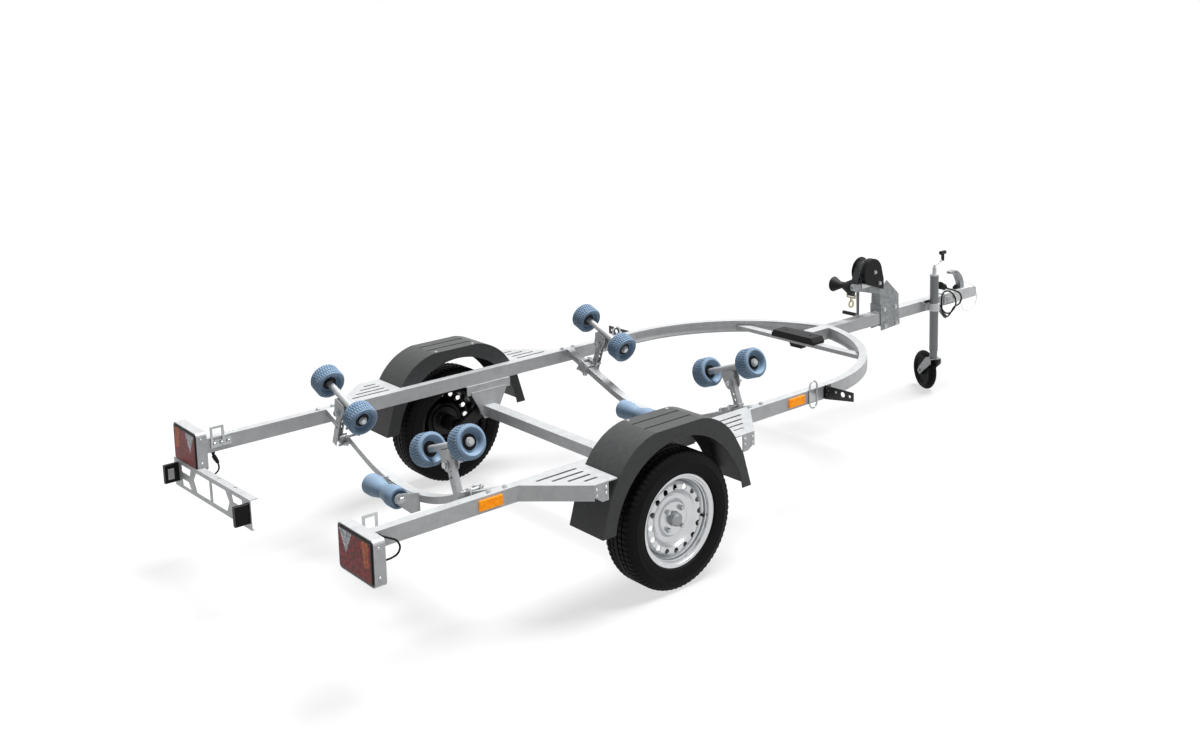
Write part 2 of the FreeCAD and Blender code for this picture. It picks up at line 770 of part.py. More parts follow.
def mudguard():
    """Moulded guard: a skin over the wheel with a side wall each side, open below."""
    foot = WHEEL_Z + GUARD_TIP[1]
    y0, y1 = RAIL_OUT, GUARD_OUT
    outer = flat(guard_outline(0, foot), "y", y0, y1 - y0)
    inner = flat(guard_outline(GUARD_T, foot - 5), "y", y0 + GUARD_T, y1 - y0 - 2 * GUARD_T)
    arch_r = TYRE_D / 2 + GUARD_ARCH_GAP
    arch = rod((AXLE_X, y0 - 1, WHEEL_Z), (AXLE_X, y1 + 1, WHEEL_Z), arch_r)
    guard = outer.cut([inner, arch])
    width = y1 - y0
    for share in (0.32, 0.68):
        y = y0 + width * share
        groove = block(
            (GUARD_X - GUARD_FLAT, GUARD_X + GUARD_FLAT),
            (y - GUARD_GROOVE_W / 2, y + GUARD_GROOVE_W / 2),
            (GUARD_TOP - GUARD_GROOVE_DEPTH, GUARD_TOP + 1),
        )
        guard = guard.cut(groove)
    return guard


def step_plate(end):
    """Folded, slotted foot plate beside the guard; end is 1 ahead of it and -1 behind."""
    tip = STEP_ENDS[end]

    def place(corners):
        return [(STEP_X + end * x, y) for x, y in corners]

    top = flat(
        place([
            (STEP_START, RAIL_OUT),
            (tip, RAIL_OUT),
            (STEP_SQUARE, STEP_OUT),
            (STEP_START, STEP_OUT),
        ]),
        "z",
        RAIL_TOP - STEP_T,
        STEP_T,
    )
    run = math.hypot(tip - STEP_SQUARE, STEP_OUT - RAIL_OUT)
    along = ((STEP_SQUARE - tip) / run, (STEP_OUT - RAIL_OUT) / run)
    inward = (-along[1] * STEP_T, along[0] * STEP_T)
    slant = flat(
        place([
            (tip, RAIL_OUT),
            (STEP_SQUARE, STEP_OUT),
            (STEP_SQUARE + inward[0], STEP_OUT + inward[1]),
            (tip + inward[0], RAIL_OUT),
        ]),
        "z",
        RAIL_Z,
        RAIL_H,
    )
    side = flat(
        place([
            (STEP_SKIRT_START, RAIL_TOP),
            (STEP_SQUARE, RAIL_TOP),
            (STEP_SQUARE, RAIL_Z + STEP_DROP),
            (STEP_SQUARE - STEP_CORNER, RAIL_Z - STEP_DROP),
            (STEP_SKIRT_START, RAIL_Z - STEP_DROP),
        ]),
        "y",
        STEP_OUT - STEP_T,
        STEP_T,
    )
    plate = fused([top, slant, side])
    for i in range(STEP_SLOTS):
        y = RAIL_OUT + 14 + i * STEP_SLOT_PITCH
        share = (y - RAIL_OUT) / (STEP_OUT - RAIL_OUT)
        finish = tip + (STEP_SQUARE - tip) * share - STEP_SLOT_MARGIN
        finish = max(finish, STEP_SLOT_START + 2 * STEP_SLOT_W)
        slot = link(
            (STEP_X + end * STEP_SLOT_START, y),
            (STEP_X + end * finish, y),
            STEP_SLOT_W / 2,
            STEP_SLOT_W / 2,
            "z",
            RAIL_TOP - STEP_T - 1,
            STEP_T + 2,
        )
        plate = plate.cut(slot)
    return plate


# ---- hull rollers --------------------------------------------------------------------------
def roller_frame(pivot):
    """Directions in the plane across the trailer: along a crossmember's leg, and off it."""
    slope = math.radians(CROSS_SLOPE)
    along = (math.cos(slope), math.sin(slope))
    off = (-math.sin(slope), math.cos(slope))

    def point(u, n):
        return (pivot[0] + u * along[0] + n * off[0], pivot[1] + u * along[1] + n * off[1])

    gap = pivot[1] - cross_top(pivot[0])
    drop = gap * math.cos(slope)
    return point, drop


def clamp_plate(point, x0, top, bottom):
    """Plate of a post's clamp, in the slanted plane of the crossmember's leg."""
    corners = [
        point(-CLAMP_HALF, bottom),
        point(CLAMP_HALF, bottom),
        point(CLAMP_HALF, top),
        point(-CLAMP_HALF, top),
    ]
    return flat(corners, "x", x0, CLAMP_T)


def roller_post(pivot, face_x, away):
    """Channel post beside a crossmember, clamped round it, with the rocker's pivot on top.
    face_x is the crossmember's face and away is the direction in X off that face."""
    point, drop = roller_frame(pivot)
    half = POST_W / 2
    top = -drop + 14
    bottom = -(drop + CROSS_H + 14)
    x0 = post_start(face_x, away)
    outer = flat(
        [point(-half, bottom), point(half, bottom), point(half, 16), point(-half, 16)],
        "x",
        x0,
        POST_D,
    )
    hollow = flat(
        [
            point(-half - 1, bottom - 1),
            point(half - POST_T, bottom - 1),
            point(half - POST_T, 17),
            point(-half - 1, 17),
        ],
        "x",
        x0 + POST_T,
        POST_D - 2 * POST_T,
    )
    post = outer.cut(hollow)
    for i in range(int((drop - POST_HOLE_PITCH) / POST_HOLE_PITCH)):
        y, z = point(0, -POST_HOLE_PITCH * (i + 1))
        post = post.cut(rod((x0 - 1, y, z), (x0 + POST_D + 1, y, z), POST_HOLE_R))
    reach = ROCKER_T + SIDE_PLAY + 5
    front_x = x0 + POST_D + reach + PIVOT_NUT
    pin = rod((x0 - reach, *pivot), (front_x, *pivot), PIVOT_R)
    spacer = flat(
        [point(-half, bottom), point(half, bottom), point(half, top), point(-half, top)],
        "x",
        min(face_x, face_x + away * POST_GAP),
        POST_GAP,
    )
    near_x = min(face_x, face_x + away * CLAMP_T)
    far_face = face_x - away * CROSS_W
    far_x = min(far_face, far_face - away * CLAMP_T)
    plates = [clamp_plate(point, x, top, bottom) for x in (near_x, far_x)]
    bolts = []
    ends = sorted((far_face - away * (CLAMP_T + 9), face_x + away * (CLAMP_T + CLAMP_BOLT_TAIL)))
    for u in (-CLAMP_HALF + 9, CLAMP_HALF - 9):
        for n in (top - 7, bottom + 7):
            y, z = point(u, n)
            bolts.append(rod((ends[0], y, z), (ends[1], y, z), CLAMP_BOLT_R))
    return fused([post, pin, spacer] + plates + bolts)


def post_start(face_x, away):
    """Lower X of the post that stands on a crossmember's face."""
    near = face_x + away * POST_GAP
    return min(near, near + away * POST_D)


def tilted(pivot):
    """Points in the plane of a rocker at rest: along its shaft, and up from its pivot."""
    tilt = math.radians(ROCKER_TILT)

    def point(u, n):
        y = pivot[0] + u * math.cos(tilt) - n * math.sin(tilt)
        z = pivot[1] + u * math.sin(tilt) + n * math.cos(tilt)
        return (y, z)

    return point


def rocker(pivot, x0):
    """Two pivoted plates with a sleeve and the shaft that carries a pair of rollers."""
    point = tilted(pivot)
    mid_x = x0 + POST_D / 2
    half = ROCKER_TOP_W / 2
    plate_top = ROCKER_H - SLEEVE_R + 4
    r = ROCKER_EYE_R
    corner = r * math.cos(math.radians(15))
    drop = r * math.sin(math.radians(15))
    pieces = []
    for inner in (x0 - SIDE_PLAY - ROCKER_T, x0 + POST_D + SIDE_PLAY):
        outline = [
            point(-corner, -drop),
            point(0, -r) + point(corner, -drop),
            point(half, plate_top - 10),
            point(half - 10, plate_top),
            point(10 - half, plate_top),
            point(-half, plate_top - 10),
        ]
        cheek = flat(outline, "x", inner, ROCKER_T)
        eye = rod((inner - 1, *pivot), (inner + ROCKER_T + 1, *pivot), PIVOT_R + RUN)
        pieces.append(cheek.cut(eye))
    saddle_x = x0 - SIDE_PLAY - ROCKER_T
    saddle = flat(
        [
            point(10 - half, plate_top - ROCKER_T),
            point(half - 10, plate_top - ROCKER_T),
            point(half - 10, plate_top),
            point(10 - half, plate_top),
        ],
        "x",
        saddle_x,
        POST_D + 2 * (SIDE_PLAY + ROCKER_T),
    )
    hub_face = ROLLER_IN + ROLLER_RECESS
    sleeve_end = hub_face - SIDE_PLAY
    sleeve = rod((mid_x, *point(-sleeve_end, ROCKER_H)), (mid_x, *point(sleeve_end, ROCKER_H)), SLEEVE_R)
    nut_start = ROLLER_IN + ROLLER_W - ROLLER_RECESS + SIDE_PLAY
    shaft_end = nut_start + NUT_T + 4
    shaft = rod((mid_x, *point(-shaft_end, ROCKER_H)), (mid_x, *point(shaft_end, ROCKER_H)), SHAFT_R)
    nuts = []
    for side in (-1, 1):
        start = point(side * nut_start, ROCKER_H)
        end = point(side * (nut_start + NUT_T), ROCKER_H)
        nuts.append(rod((mid_x, *start), (mid_x, *end), SHAFT_R + 6))
    return fused(pieces + [saddle, sleeve, shaft] + nuts)


def roller_pair(pivot, x0):
    """Two rollers on one shaft, each with a deep recess in both ends."""
    tilt = math.radians(ROCKER_TILT)
    centre = (x0 + POST_D / 2, *tilted(pivot)(0, ROCKER_H))
    bore = SHAFT_R + RUN
    mid = ROLLER_IN + ROLLER_W / 2
    half = ROLLER_W / 2
    floor = half - ROLLER_RECESS
    rollers = []
    for side in (-1, 1):
        def at(along, radius):
            return (side * mid + along, radius)

        outline = [
            at(-floor, bore),
            at(-floor, ROLLER_RECESS_R - 9),
            at(4 - half, ROLLER_RECESS_R),
            at(-half, ROLLER_RECESS_R + 5),
            at(-half, ROLLER_R - 13),
            at(4 - half, ROLLER_R - 4) + at(13 - half, ROLLER_R),
            at(half - 13, ROLLER_R),
            at(half - 4, ROLLER_R - 4) + at(half, ROLLER_R - 13),
            at(half, ROLLER_RECESS_R + 5),
            at(half - 4, ROLLER_RECESS_R),
            at(floor, ROLLER_RECESS_R - 9),
            at(floor, bore),
        ]
        rollers.append(lathe(outline, centre, (0, math.cos(tilt), math.sin(tilt))))
    return group(rollers)


# ---- keel rollers --------------------------------------------------------------------------
def keel_bracket(cross_x):
    """Folded bracket on the back of a crossmember, with the keel roller's pin."""
    axis_x = cross_x - KEEL_BACK
    inner = KEEL_L / 2 + 6
    outline = [
        (cross_x, KEEL_Z + 4),
        (cross_x, KEEL_Z - 70),
        (cross_x - 42, KEEL_Z - 70),
        (axis_x - 18, KEEL_Z - 14),
        (axis_x - 24, KEEL_Z + 6, axis_x, KEEL_Z + 21),
    ]
    ears = []
    for start in (inner, -inner - KEEL_EAR_T):
        ears.append(flat(outline, "y", start, KEEL_EAR_T))
    back = block(
        (cross_x - KEEL_EAR_T, cross_x),
        (-inner, inner),
        (KEEL_Z - 70, KEEL_Z - 16),
    )
    end = inner + KEEL_EAR_T + 12
    pin = rod((axis_x, -end, KEEL_Z), (axis_x, end, KEEL_Z), KEEL_PIN_R)
    return fused(ears + [back, pin])


def keel_roller(cross_x):
    """Waisted roller in two halves that centres the keel."""
    half = KEEL_L / 2
    bore = KEEL_PIN_R + RUN
    outline = [
        (-half, bore),
        (-half, KEEL_R - 6),
        (1.5 - half, KEEL_R - 1.5, 6 - half, KEEL_R),
        (-half * 0.55, KEEL_R - 3),
        (-7, KEEL_WAIST_R),
        (-3, KEEL_WAIST_R),
        (0, KEEL_WAIST_R - 3),
        (3, KEEL_WAIST_R),
        (7, KEEL_WAIST_R),
        (half * 0.55, KEEL_R - 3),
        (half - 6, KEEL_R),
        (half - 1.5, KEEL_R - 1.5, half, KEEL_R - 6),
        (half, bore),
    ]
    return lathe(outline, (cross_x - KEEL_BACK, 0, KEEL_Z), (0, 1, 0))


# ---- lamps and plate holder ----------------------------------------------------------------
def rounded_rect(y, z, radius):
    """Outline of a rectangle with four round corners."""
    k = radius * (1 - math.sqrt(0.5))
    r = radius
    return [
        (y[0] + r, z[0]),
        (y[1] - r, z[0]),
        (y[1] - k, z[0] + k, y[1], z[0] + r),
        (y[1], z[1] - r),
        (y[1] - k, z[1] - k, y[1] - r, z[1]),
        (y[0] + r, z[1]),
        (y[0] + k, z[1] - k, y[0], z[1] - r),
        (y[0], z[0] + r),
        (y[0] + k, z[0] + k, y[0] + r, z[0]),
    ]


def lamp_box():
    """Folded steel box round a rear lamp, open to the rear, on the end of a rail."""
    y, z = (LAMP_IN, LAMP_OUT), (LAMP_Z, LAMP_TOP)
    t = LAMP_BOX_T
    depth = RAIL_REAR_X - LAMP_X - LENS_PROUD
    outer = flat(rounded_rect(y, z, LAMP_CORNER_R), "x", LAMP_X + LENS_PROUD, depth)
    inside = rounded_rect((y[0] + t, y[1] - t), (z[0] + t, z[1] - t), LAMP_CORNER_R - t)
    return outer.cut(flat(inside, "x", LAMP_X + LENS_PROUD - 1, depth - t + 1))


def lamp_unit():
    """Rear lamp: housing and lens in one block that fills the mouth of its box."""
    t = LAMP_BOX_T + RUN
    y = (LAMP_IN + t, LAMP_OUT - t)
    z = (LAMP_Z + t, LAMP_TOP - t)
    depth = RAIL_REAR_X - LAMP_X - LAMP_BOX_T
    body = flat(rounded_rect(y, z, LAMP_CORNER_R - t), "x", LAMP_X + 4, depth - 4)
    lens = flat(
        rounded_rect((y[0] + 7, y[1] - 7), (z[0] + 7, z[1] - 7), LAMP_CORNER_R - t - 6),
        "x",
        LAMP_X,
        6,
    )
    return fused([body, lens])


def on_holder(shape):
    """Turns a shape drawn on a level holder, about its outer lower corner, to its slope."""
    turned = shape.copy()
    turned.rotate(V(0, HOLDER_OUT, HOLDER_Z), V(1, 0, 0), -HOLDER_SLOPE)
    return turned


def plate_holder():
    """Pressed bar with truss windows that a number plate is screwed to."""
    x0 = LAMP_X - HOLDER_BACK
    y = (HOLDER_OUT - HOLDER_L, HOLDER_OUT)
    z = (HOLDER_Z, HOLDER_Z + HOLDER_H)
    mid = (y[0] + y[1]) / 2
    face = block((x0, x0 + HOLDER_T), y, z)
    windows = []
    for side in (-1, 1):
        for corners in HOLDER_WINDOWS:
            outline = [(mid + side * s, HOLDER_Z + t) for s, t in corners]
            windows.append(flat(outline, "x", x0 - 1, HOLDER_T + 2))
    face = face.cut(windows)
    flange = block((x0, x0 + HOLDER_FLANGE), (y[0], LAMP_IN - 6), (z[1] - HOLDER_T, z[1]))
    for share in (0.34, 0.64):
        slot_y = y[0] + (LAMP_IN - y[0]) * share
        flange = flange.cut(
            link((x0 + 20, slot_y - 7), (x0 + 20, slot_y + 7), 4, 4, "z", z[1] - HOLDER_T - 1, HOLDER_T + 2)
        )
    lip = block((x0, x0 + HOLDER_LIP), y, (z[0], z[0] + HOLDER_T))
    bar = on_holder(fused([face, flange, lip]))
    tab = block(
        (x0, x0 + HOLDER_TAB + HOLDER_T),
        (LAMP_IN + 24, LAMP_OUT - 24),
        (LAMP_Z - HOLDER_T, LAMP_Z),
    )
    return fused([bar, tab])


def plate_lamps():
    """Two slim lamps on the ends of the plate holder that shine across the plate."""
    x1 = LAMP_X - HOLDER_BACK
    z0 = HOLDER_Z + PLATE_LAMP_RISE
    first = HOLDER_OUT - PLATE_LAMP_INSET[0] - PLATE_LAMP_W
    last = HOLDER_OUT - HOLDER_L + PLATE_LAMP_INSET[1]
    lamps = []
    for y0 in (first, last):
        body = block((REAR_X, x1), (y0, y0 + PLATE_LAMP_W), (z0, z0 + PLATE_LAMP_H))
        rounded = [e for e in body.Edges if abs(e.tangentAt(e.FirstParameter).x) > 0.9]
        lamps.append(on_holder(body.makeFillet(4, rounded)))
    return group(lamps)


def lamp_leads():
    """Leads from the rails to the lamp boxes: the left one drops through a rubber boot,
    the right one comes out of the side of its rail."""
    left_y = RAIL_IN + 12
    left = [(RAIL_REAR_X + dx, left_y, RAIL_Z - drop) for dx, drop in LEFT_LEAD]
    boot_r = LAMP_LEAD_R + 5.5
    x, z = RAIL_REAR_X + LEFT_LEAD[0][0], RAIL_Z
    boot = Part.makeCone(boot_r, LAMP_LEAD_R + 1.5, 18, V(x, left_y, z), V(0, 0, -1))
    right = [(RAIL_REAR_X + dx, -RAIL_OUT - out, RAIL_Z + rise) for dx, out, rise in RIGHT_LEAD]
    dropped = fused([cord("left lamp lead", left, LAMP_LEAD_R), boot])
    return group([dropped, cord("right lamp lead", right, LAMP_LEAD_R)])


# routes of the lamp leads: ahead of the rails' rear ends, then below or beside the rail
LEFT_LEAD = (
    (43.0, 0.0),
    (43.0, 20.0),
    (61.0, 51.0),
    (65.0, 84.0),
    (39.0, 102.0),
    (9.0, 93.0),
    (-12.0, 77.0),
    (-12.0, 57.0),
)
RIGHT_LEAD = (
    (65.0, 0.0, 47.0),
    (65.0, 16.0, 47.0),
    (80.0, 34.0, 42.0),
    (110.0, 38.0, 27.0),
    (122.0, 38.0, -1.0),
    (110.0, 38.0, -23.0),
    (80.0, 36.0, -31.0),
    (30.0, 32.0, -29.0),
    (0.0, 32.0, -29.0),
)


# ---- small fittings ------------------------------------------------------------------------
def rear_tie_down():
    """Square staple on a plate bolted to the inner face of the left rail."""
    length, height, thick = STAPLE_PLATE
    y1 = RAIL_IN
    bar = STAPLE_BAR
    x0 = REAR_STAPLE_X - STAPLE_L / 2
    z0 = RAIL_Z + (RAIL_H - height) / 2 + 4
    plate = block((x0, x0 + length), (y1 - thick, y1), (z0, z0 + height))
    z1 = RAIL_TOP + STAPLE_H
    legs = [block((x, x + bar), (y1 - bar, y1), (z0, z1)) for x in (x0, x0 + STAPLE_L - bar)]
    top = block((x0, x0 + STAPLE_L), (y1 - bar, y1), (z1 - bar, z1))
    bolts = []
    for i in range(3):
        x = x0 + length * (i + 0.5) / 3
        z = z0 + height / 2
        bolts.append(rod((x, y1 - thick - 5, z), (x, y1 - thick, z), STAPLE_BOLT_R))
    return fused([plate, top] + legs + bolts)


def front_tie_down():
    """Long ring of round bar welded to the outer face of the left rail."""
    y = RAIL_OUT + RING_BAR_R
    z0, z1 = RING_Z
    left, right = RING_X - RING_HALF, RING_X + RING_HALF
    path = Part.Wire([
        Part.LineSegment(V(left, y, z0), V(left, y, z1)).toShape(),
        Part.Arc(V(left, y, z1), V(RING_X, y, z1 + RING_HALF), V(right, y, z1)).toShape(),
        Part.LineSegment(V(right, y, z1), V(right, y, z0)).toShape(),
        Part.Arc(V(right, y, z0), V(RING_X, y, z0 - RING_HALF), V(left, y, z0)).toShape(),
    ])
    ring = Part.Wire(Part.makeCircle(RING_BAR_R, V(left, y, z0), V(0, 0, 1)))
    bar = path.makePipeShell([ring], True, False)
    seat = block((left, right), (RAIL_OUT, RAIL_OUT + 3), (RAIL_Z + 6, RAIL_TOP - 6))
    return fused([bar, seat])


def reflectors():
    """Side reflectors on the outer faces of the rails."""
    length, height, thick = REFLECTOR
    z0 = RAIL_Z + (RAIL_H - height) / 2
    pieces = []
    for x in REFLECTOR_X:
        for y in ((RAIL_OUT, RAIL_OUT + thick), (-RAIL_OUT - thick, -RAIL_OUT)):
            pieces.append(block((x - length / 2, x + length / 2), y, (z0, z0 + height)))
    return group(pieces)


def marker_bracket():
    """Drilled plate that stands out beside the front end of a rail, for a marker lamp."""
    y0, y1 = RAIL_OUT, RAIL_OUT + MARKER_L
    outline = [(y0, MARKER_Z[0]), (y1, MARKER_Z[1]), (y1, MARKER_TOP), (y0, MARKER_TOP)]
    plate = flat(outline, "x", MARKER_X, MARKER_T)
    for reach, rise, radius in MARKER_HOLES:
        y, z = y0 + reach, RAIL_Z + rise
        plate = plate.cut(rod((MARKER_X - 1, y, z), (MARKER_X + MARKER_T + 1, y, z), radius))
    tab = block(
        (MARKER_X, MARKER_X + MARKER_T + MARKER_TAB),
        (y0, y0 + MARKER_T),
        (RAIL_Z + 2, RAIL_TOP - 2),
    )
    rear_tab = block((MARKER_X - 8, MARKER_X), (y0, y0 + 2), (RAIL_Z + 6, RAIL_TOP - 6))
    return fused([plate, tab, rear_tab])


# ---- winch post ----------------------------------------------------------------------------
def winch_post():
    """Clamp plates on the drawbar, a plated column, and the two arms out to the bow roller."""
    half = DRAWBAR_W / 2
    x0, x1 = WINCH_CLAMP_X
    z0, z1 = WINCH_CLAMP_Z
    t = WINCH_CLAMP_T
    plate = [(x0, z1), (x1 - 11, z1 - 24), (x1, z0 + 8), (x0 + 6, z0)]
    pieces = []
    for start in (half, -half - t):
        pieces.append(flat(plate, "y", start, t))
    reach = half + t + 9
    upper = RAIL_TOP + WINCH_BOLT_OFFSET
    lower = RAIL_Z - WINCH_BOLT_OFFSET
    for x, z in ((x0 + 26, upper), (x1 - 46, upper), (x0 + 35, lower), (x1 - 34, lower)):
        pieces.append(rod((x, -reach, z), (x, reach, z), WINCH_BOLT_R))
    foot = RAIL_TOP + 12
    back = [
        (x0, foot),
        (x0 + 4, RAIL_TOP + 109),
        (x0 + 4 + COLUMN_T, RAIL_TOP + 109),
        (x0 + COLUMN_T, foot),
    ]
    column = [
        (x0, foot),
        (x0 + 4, RAIL_TOP + 109),
        (x0 + 24, RAIL_TOP + 150),
        (x0 + 59, RAIL_TOP + 174),
        (x1 - 4, RAIL_TOP + 82),
        (x1 - 4, RAIL_TOP),
        (x0 + 12, RAIL_TOP),
    ]
    for start in (half - COLUMN_T, -half):
        pieces.append(flat(column, "y", start, COLUMN_T))
    pieces.append(flat(back, "y", -half, DRAWBAR_W))
    pieces.append(block((x0 + 12, x0 + 60), (-half, half), (RAIL_TOP, RAIL_TOP + COLUMN_T)))
    pieces += winch_arms()
    seat = block(
        (WINCH_X - 66, WINCH_X + 62),
        (-half - COLUMN_T, half + COLUMN_T),
        (WINCH_SEAT_Z - COLUMN_T, WINCH_SEAT_Z),
    )
    winch_room = block(
        (WINCH_X - 66, WINCH_X + 62),
        (-half - COLUMN_T, half + COLUMN_T),
        (WINCH_SEAT_Z, WINCH_Z),
    )
    return fused(pieces + [seat]).cut(winch_room)


def winch_arms():
    """Two bars from the column, set wider at the bow roller, and the roller's pin."""
    half = DRAWBAR_W / 2
    tail = (ARM_TAIL_X, ARM_TAIL_Z)
    root = (WINCH_CLAMP_X[0] + 30, RAIL_TOP + 118)
    bar_r = ARM_BAR_H / 2
    side = link(root, tail, bar_r + 2, bar_r, "y", 0, ARM_FORK_Y + COLUMN_T)
    jog = (WINCH_X - 124, WINCH_X - 78)
    plan = [
        (root[0] + ARM_BAR_H, half),
        (jog[1], half),
        (jog[0], ARM_FORK_Y),
        (tail[0] - ARM_BAR_H, ARM_FORK_Y),
        (tail[0] - ARM_BAR_H, ARM_FORK_Y + COLUMN_T),
        (jog[0] + 2, ARM_FORK_Y + COLUMN_T),
        (jog[1] + 2, half + COLUMN_T),
        (root[0] + ARM_BAR_H, half + COLUMN_T),
    ]
    arm = side.common(flat(plan, "z", RAIL_Z, WINCH_Z - RAIL_Z))
    pin_end = ARM_FORK_Y + COLUMN_T + 8
    pin = rod((tail[0], -pin_end, tail[1]), (tail[0], pin_end, tail[1]), BOW_PIN_R)
    return [arm, mirrored(arm), pin]


def bow_roller():
    """Waisted rubber roller that the bow's stem is winched against."""
    half = BOW_ROLLER_L / 2
    bore = BOW_PIN_R + RUN
    outline = [
        (-half, bore),
        (-half, BOW_ROLLER_R - 4),
        (1.2 - half, BOW_ROLLER_R - 1.2, 4 - half, BOW_ROLLER_R),
        (-8, BOW_ROLLER_WAIST_R + 3),
        (0, BOW_ROLLER_WAIST_R, 8, BOW_ROLLER_WAIST_R + 3),
        (half - 4, BOW_ROLLER_R),
        (half - 1.2, BOW_ROLLER_R - 1.2, half, BOW_ROLLER_R - 4),
        (half, bore),
    ]
    return lathe(outline, (ARM_TAIL_X, 0, ARM_TAIL_Z), (0, 1, 0))


def winch_frame():
    """Two side plates of the hand winch on their base, with the drum's axle."""
    seat_z = WINCH_SEAT_Z
    t = WINCH_PLATE_T
    outline = [
        (WINCH_X - 64, seat_z),
        (WINCH_X + 60, seat_z),
        (WINCH_X + 60, seat_z + 40),
        (WINCH_X + 34, WINCH_Z + 22),
        (WINCH_X, WINCH_Z + 40, WINCH_X - 34, WINCH_Z + 22),
        (WINCH_X - 64, seat_z + 40),
    ]
    plates = [flat(outline, "y", WINCH_IN, t), flat(outline, "y", -WINCH_IN - t, t)]
    base = block((WINCH_X - 64, WINCH_X + 60), (-WINCH_IN, WINCH_IN), (seat_z, seat_z + t))
    end = WINCH_IN + t
    axle = rod((WINCH_X, -end, WINCH_Z), (WINCH_X, end + 6, WINCH_Z), WINCH_AXLE_R)
    return fused(plates + [base, axle])


def winch_cover():
    """Moulded cover over the winch's gears, on its right side."""
    x, z, r = WINCH_X + 2, WINCH_Z - 2, WINCH_COVER_R
    left = math.radians(205)
    right = math.radians(10)
    outline = [
        (x + r * math.cos(right), z + r * math.sin(right)),
        (x, z + r, x + r * math.cos(left), z + r * math.sin(left)),
        (x - 70, z - 49),
        (x + 90, z - 103),
        (x + 90, z - 43),
    ]
    cover = flat(outline, "y", -WINCH_IN - WINCH_PLATE_T - WINCH_COVER_T, WINCH_COVER_T)
    rims = [e for e in cover.Edges if e.BoundBox.YMax < -WINCH_IN - WINCH_PLATE_T - WINCH_COVER_T + 1]
    return cover.makeChamfer(3, rims)


def winch_drum():
    """Drum with its flanges and the webbing wound on it."""
    half = WINCH_IN - 2
    outline = [
        (-half, WINCH_AXLE_R),
        (-half, WINCH_FLANGE_R),
        (3 - half, WINCH_FLANGE_R),
        (3 - half, WINCH_WOUND_R),
        (half - 3, WINCH_WOUND_R),
        (half - 3, WINCH_FLANGE_R),
        (half, WINCH_FLANGE_R),
        (half, WINCH_AXLE_R),
    ]
    return lathe(outline, (WINCH_X, 0, WINCH_Z), (0, 1, 0))


def winch_crank():
    """Crank arm and grip on the left end of the winch's gear shaft."""
    y0 = WINCH_IN + WINCH_PLATE_T
    x, z, low = CRANK_X, CRANK_AXIS_Z, CRANK_GRIP_Z
    width, thick = CRANK_ARM
    shaft = rod((x, y0, z), (x, CRANK_ARM_Y + thick + 5, z), 8)
    arm = link((x, z), (x, low), width / 2 + 3, width / 2, "y", CRANK_ARM_Y, thick)
    grip = rod((x, CRANK_ARM_Y, low), (x, CRANK_ARM_Y + thick + CRANK_GRIP_L, low), CRANK_GRIP_R)
    return fused([shaft, arm, grip])


def winch_strap():
    """Webbing that leaves the drum and ends in a sewn eye round the hook's bar."""
    hang = math.hypot(WINCH_X - HOOK_X, WINCH_Z - HOOK_TOP)
    reach = WINCH_WOUND_R + RUN + STRAP_T / 2
    heading = math.atan2(WINCH_Z - HOOK_TOP, WINCH_X - HOOK_X) + math.asin(reach / hang)
    length = math.sqrt(hang ** 2 - reach ** 2)
    ux, uz = math.cos(heading), math.sin(heading)

    def point(along, across):
        return (HOOK_X + along * ux - across * uz, HOOK_TOP + along * uz + across * ux)

    t = STRAP_T / 2
    web = flat([point(0, -t), point(length, -t), point(length, t), point(0, t)], "y", -STRAP_W / 2, STRAP_W)
    y0, y1 = -STRAP_W / 2, STRAP_W / 2
    eye = rod((HOOK_X, y0, HOOK_TOP), (HOOK_X, y1, HOOK_TOP), HOOK_BAR_R + RUN + STRAP_T)
    hole = rod((HOOK_X, y0 - 1, HOOK_TOP), (HOOK_X, y1 + 1, HOOK_TOP), HOOK_BAR_R + RUN)
    return fused([web, eye]).cut(hole)


def snap_hook():
    """Forged hook that hangs in the strap's eye by its bar."""
    y = STRAP_W / 2 + HOOK_BAR_R + 1
    z = HOOK_TOP
    low = HOOK_TOP - 15
    centre_z = HOOK_TOP - HOOK_H + HOOK_R
    bars = [rod((HOOK_X, -y, level), (HOOK_X, y, level), HOOK_BAR_R) for level in (z, low)]
    sides = [rod((HOOK_X, s * y, z), (HOOK_X, s * y, low), HOOK_BAR_R) for s in (-1, 1)]
    corners = [Part.makeSphere(HOOK_BAR_R, V(HOOK_X, s * y, a)) for s in (-1, 1) for a in (z, low)]
    shank = rod((HOOK_X, 0, low), (HOOK_X, 0, centre_z + HOOK_R - 10), HOOK_BAR_R + 3)
    middle_r = HOOK_R - HOOK_BAR_R - 1
    ring = Part.makeTorus(middle_r, HOOK_BAR_R + 1, V(HOOK_X, 0, centre_z), V(0, 1, 0))
    return fused(bars + [shank, ring] + sides + corners)


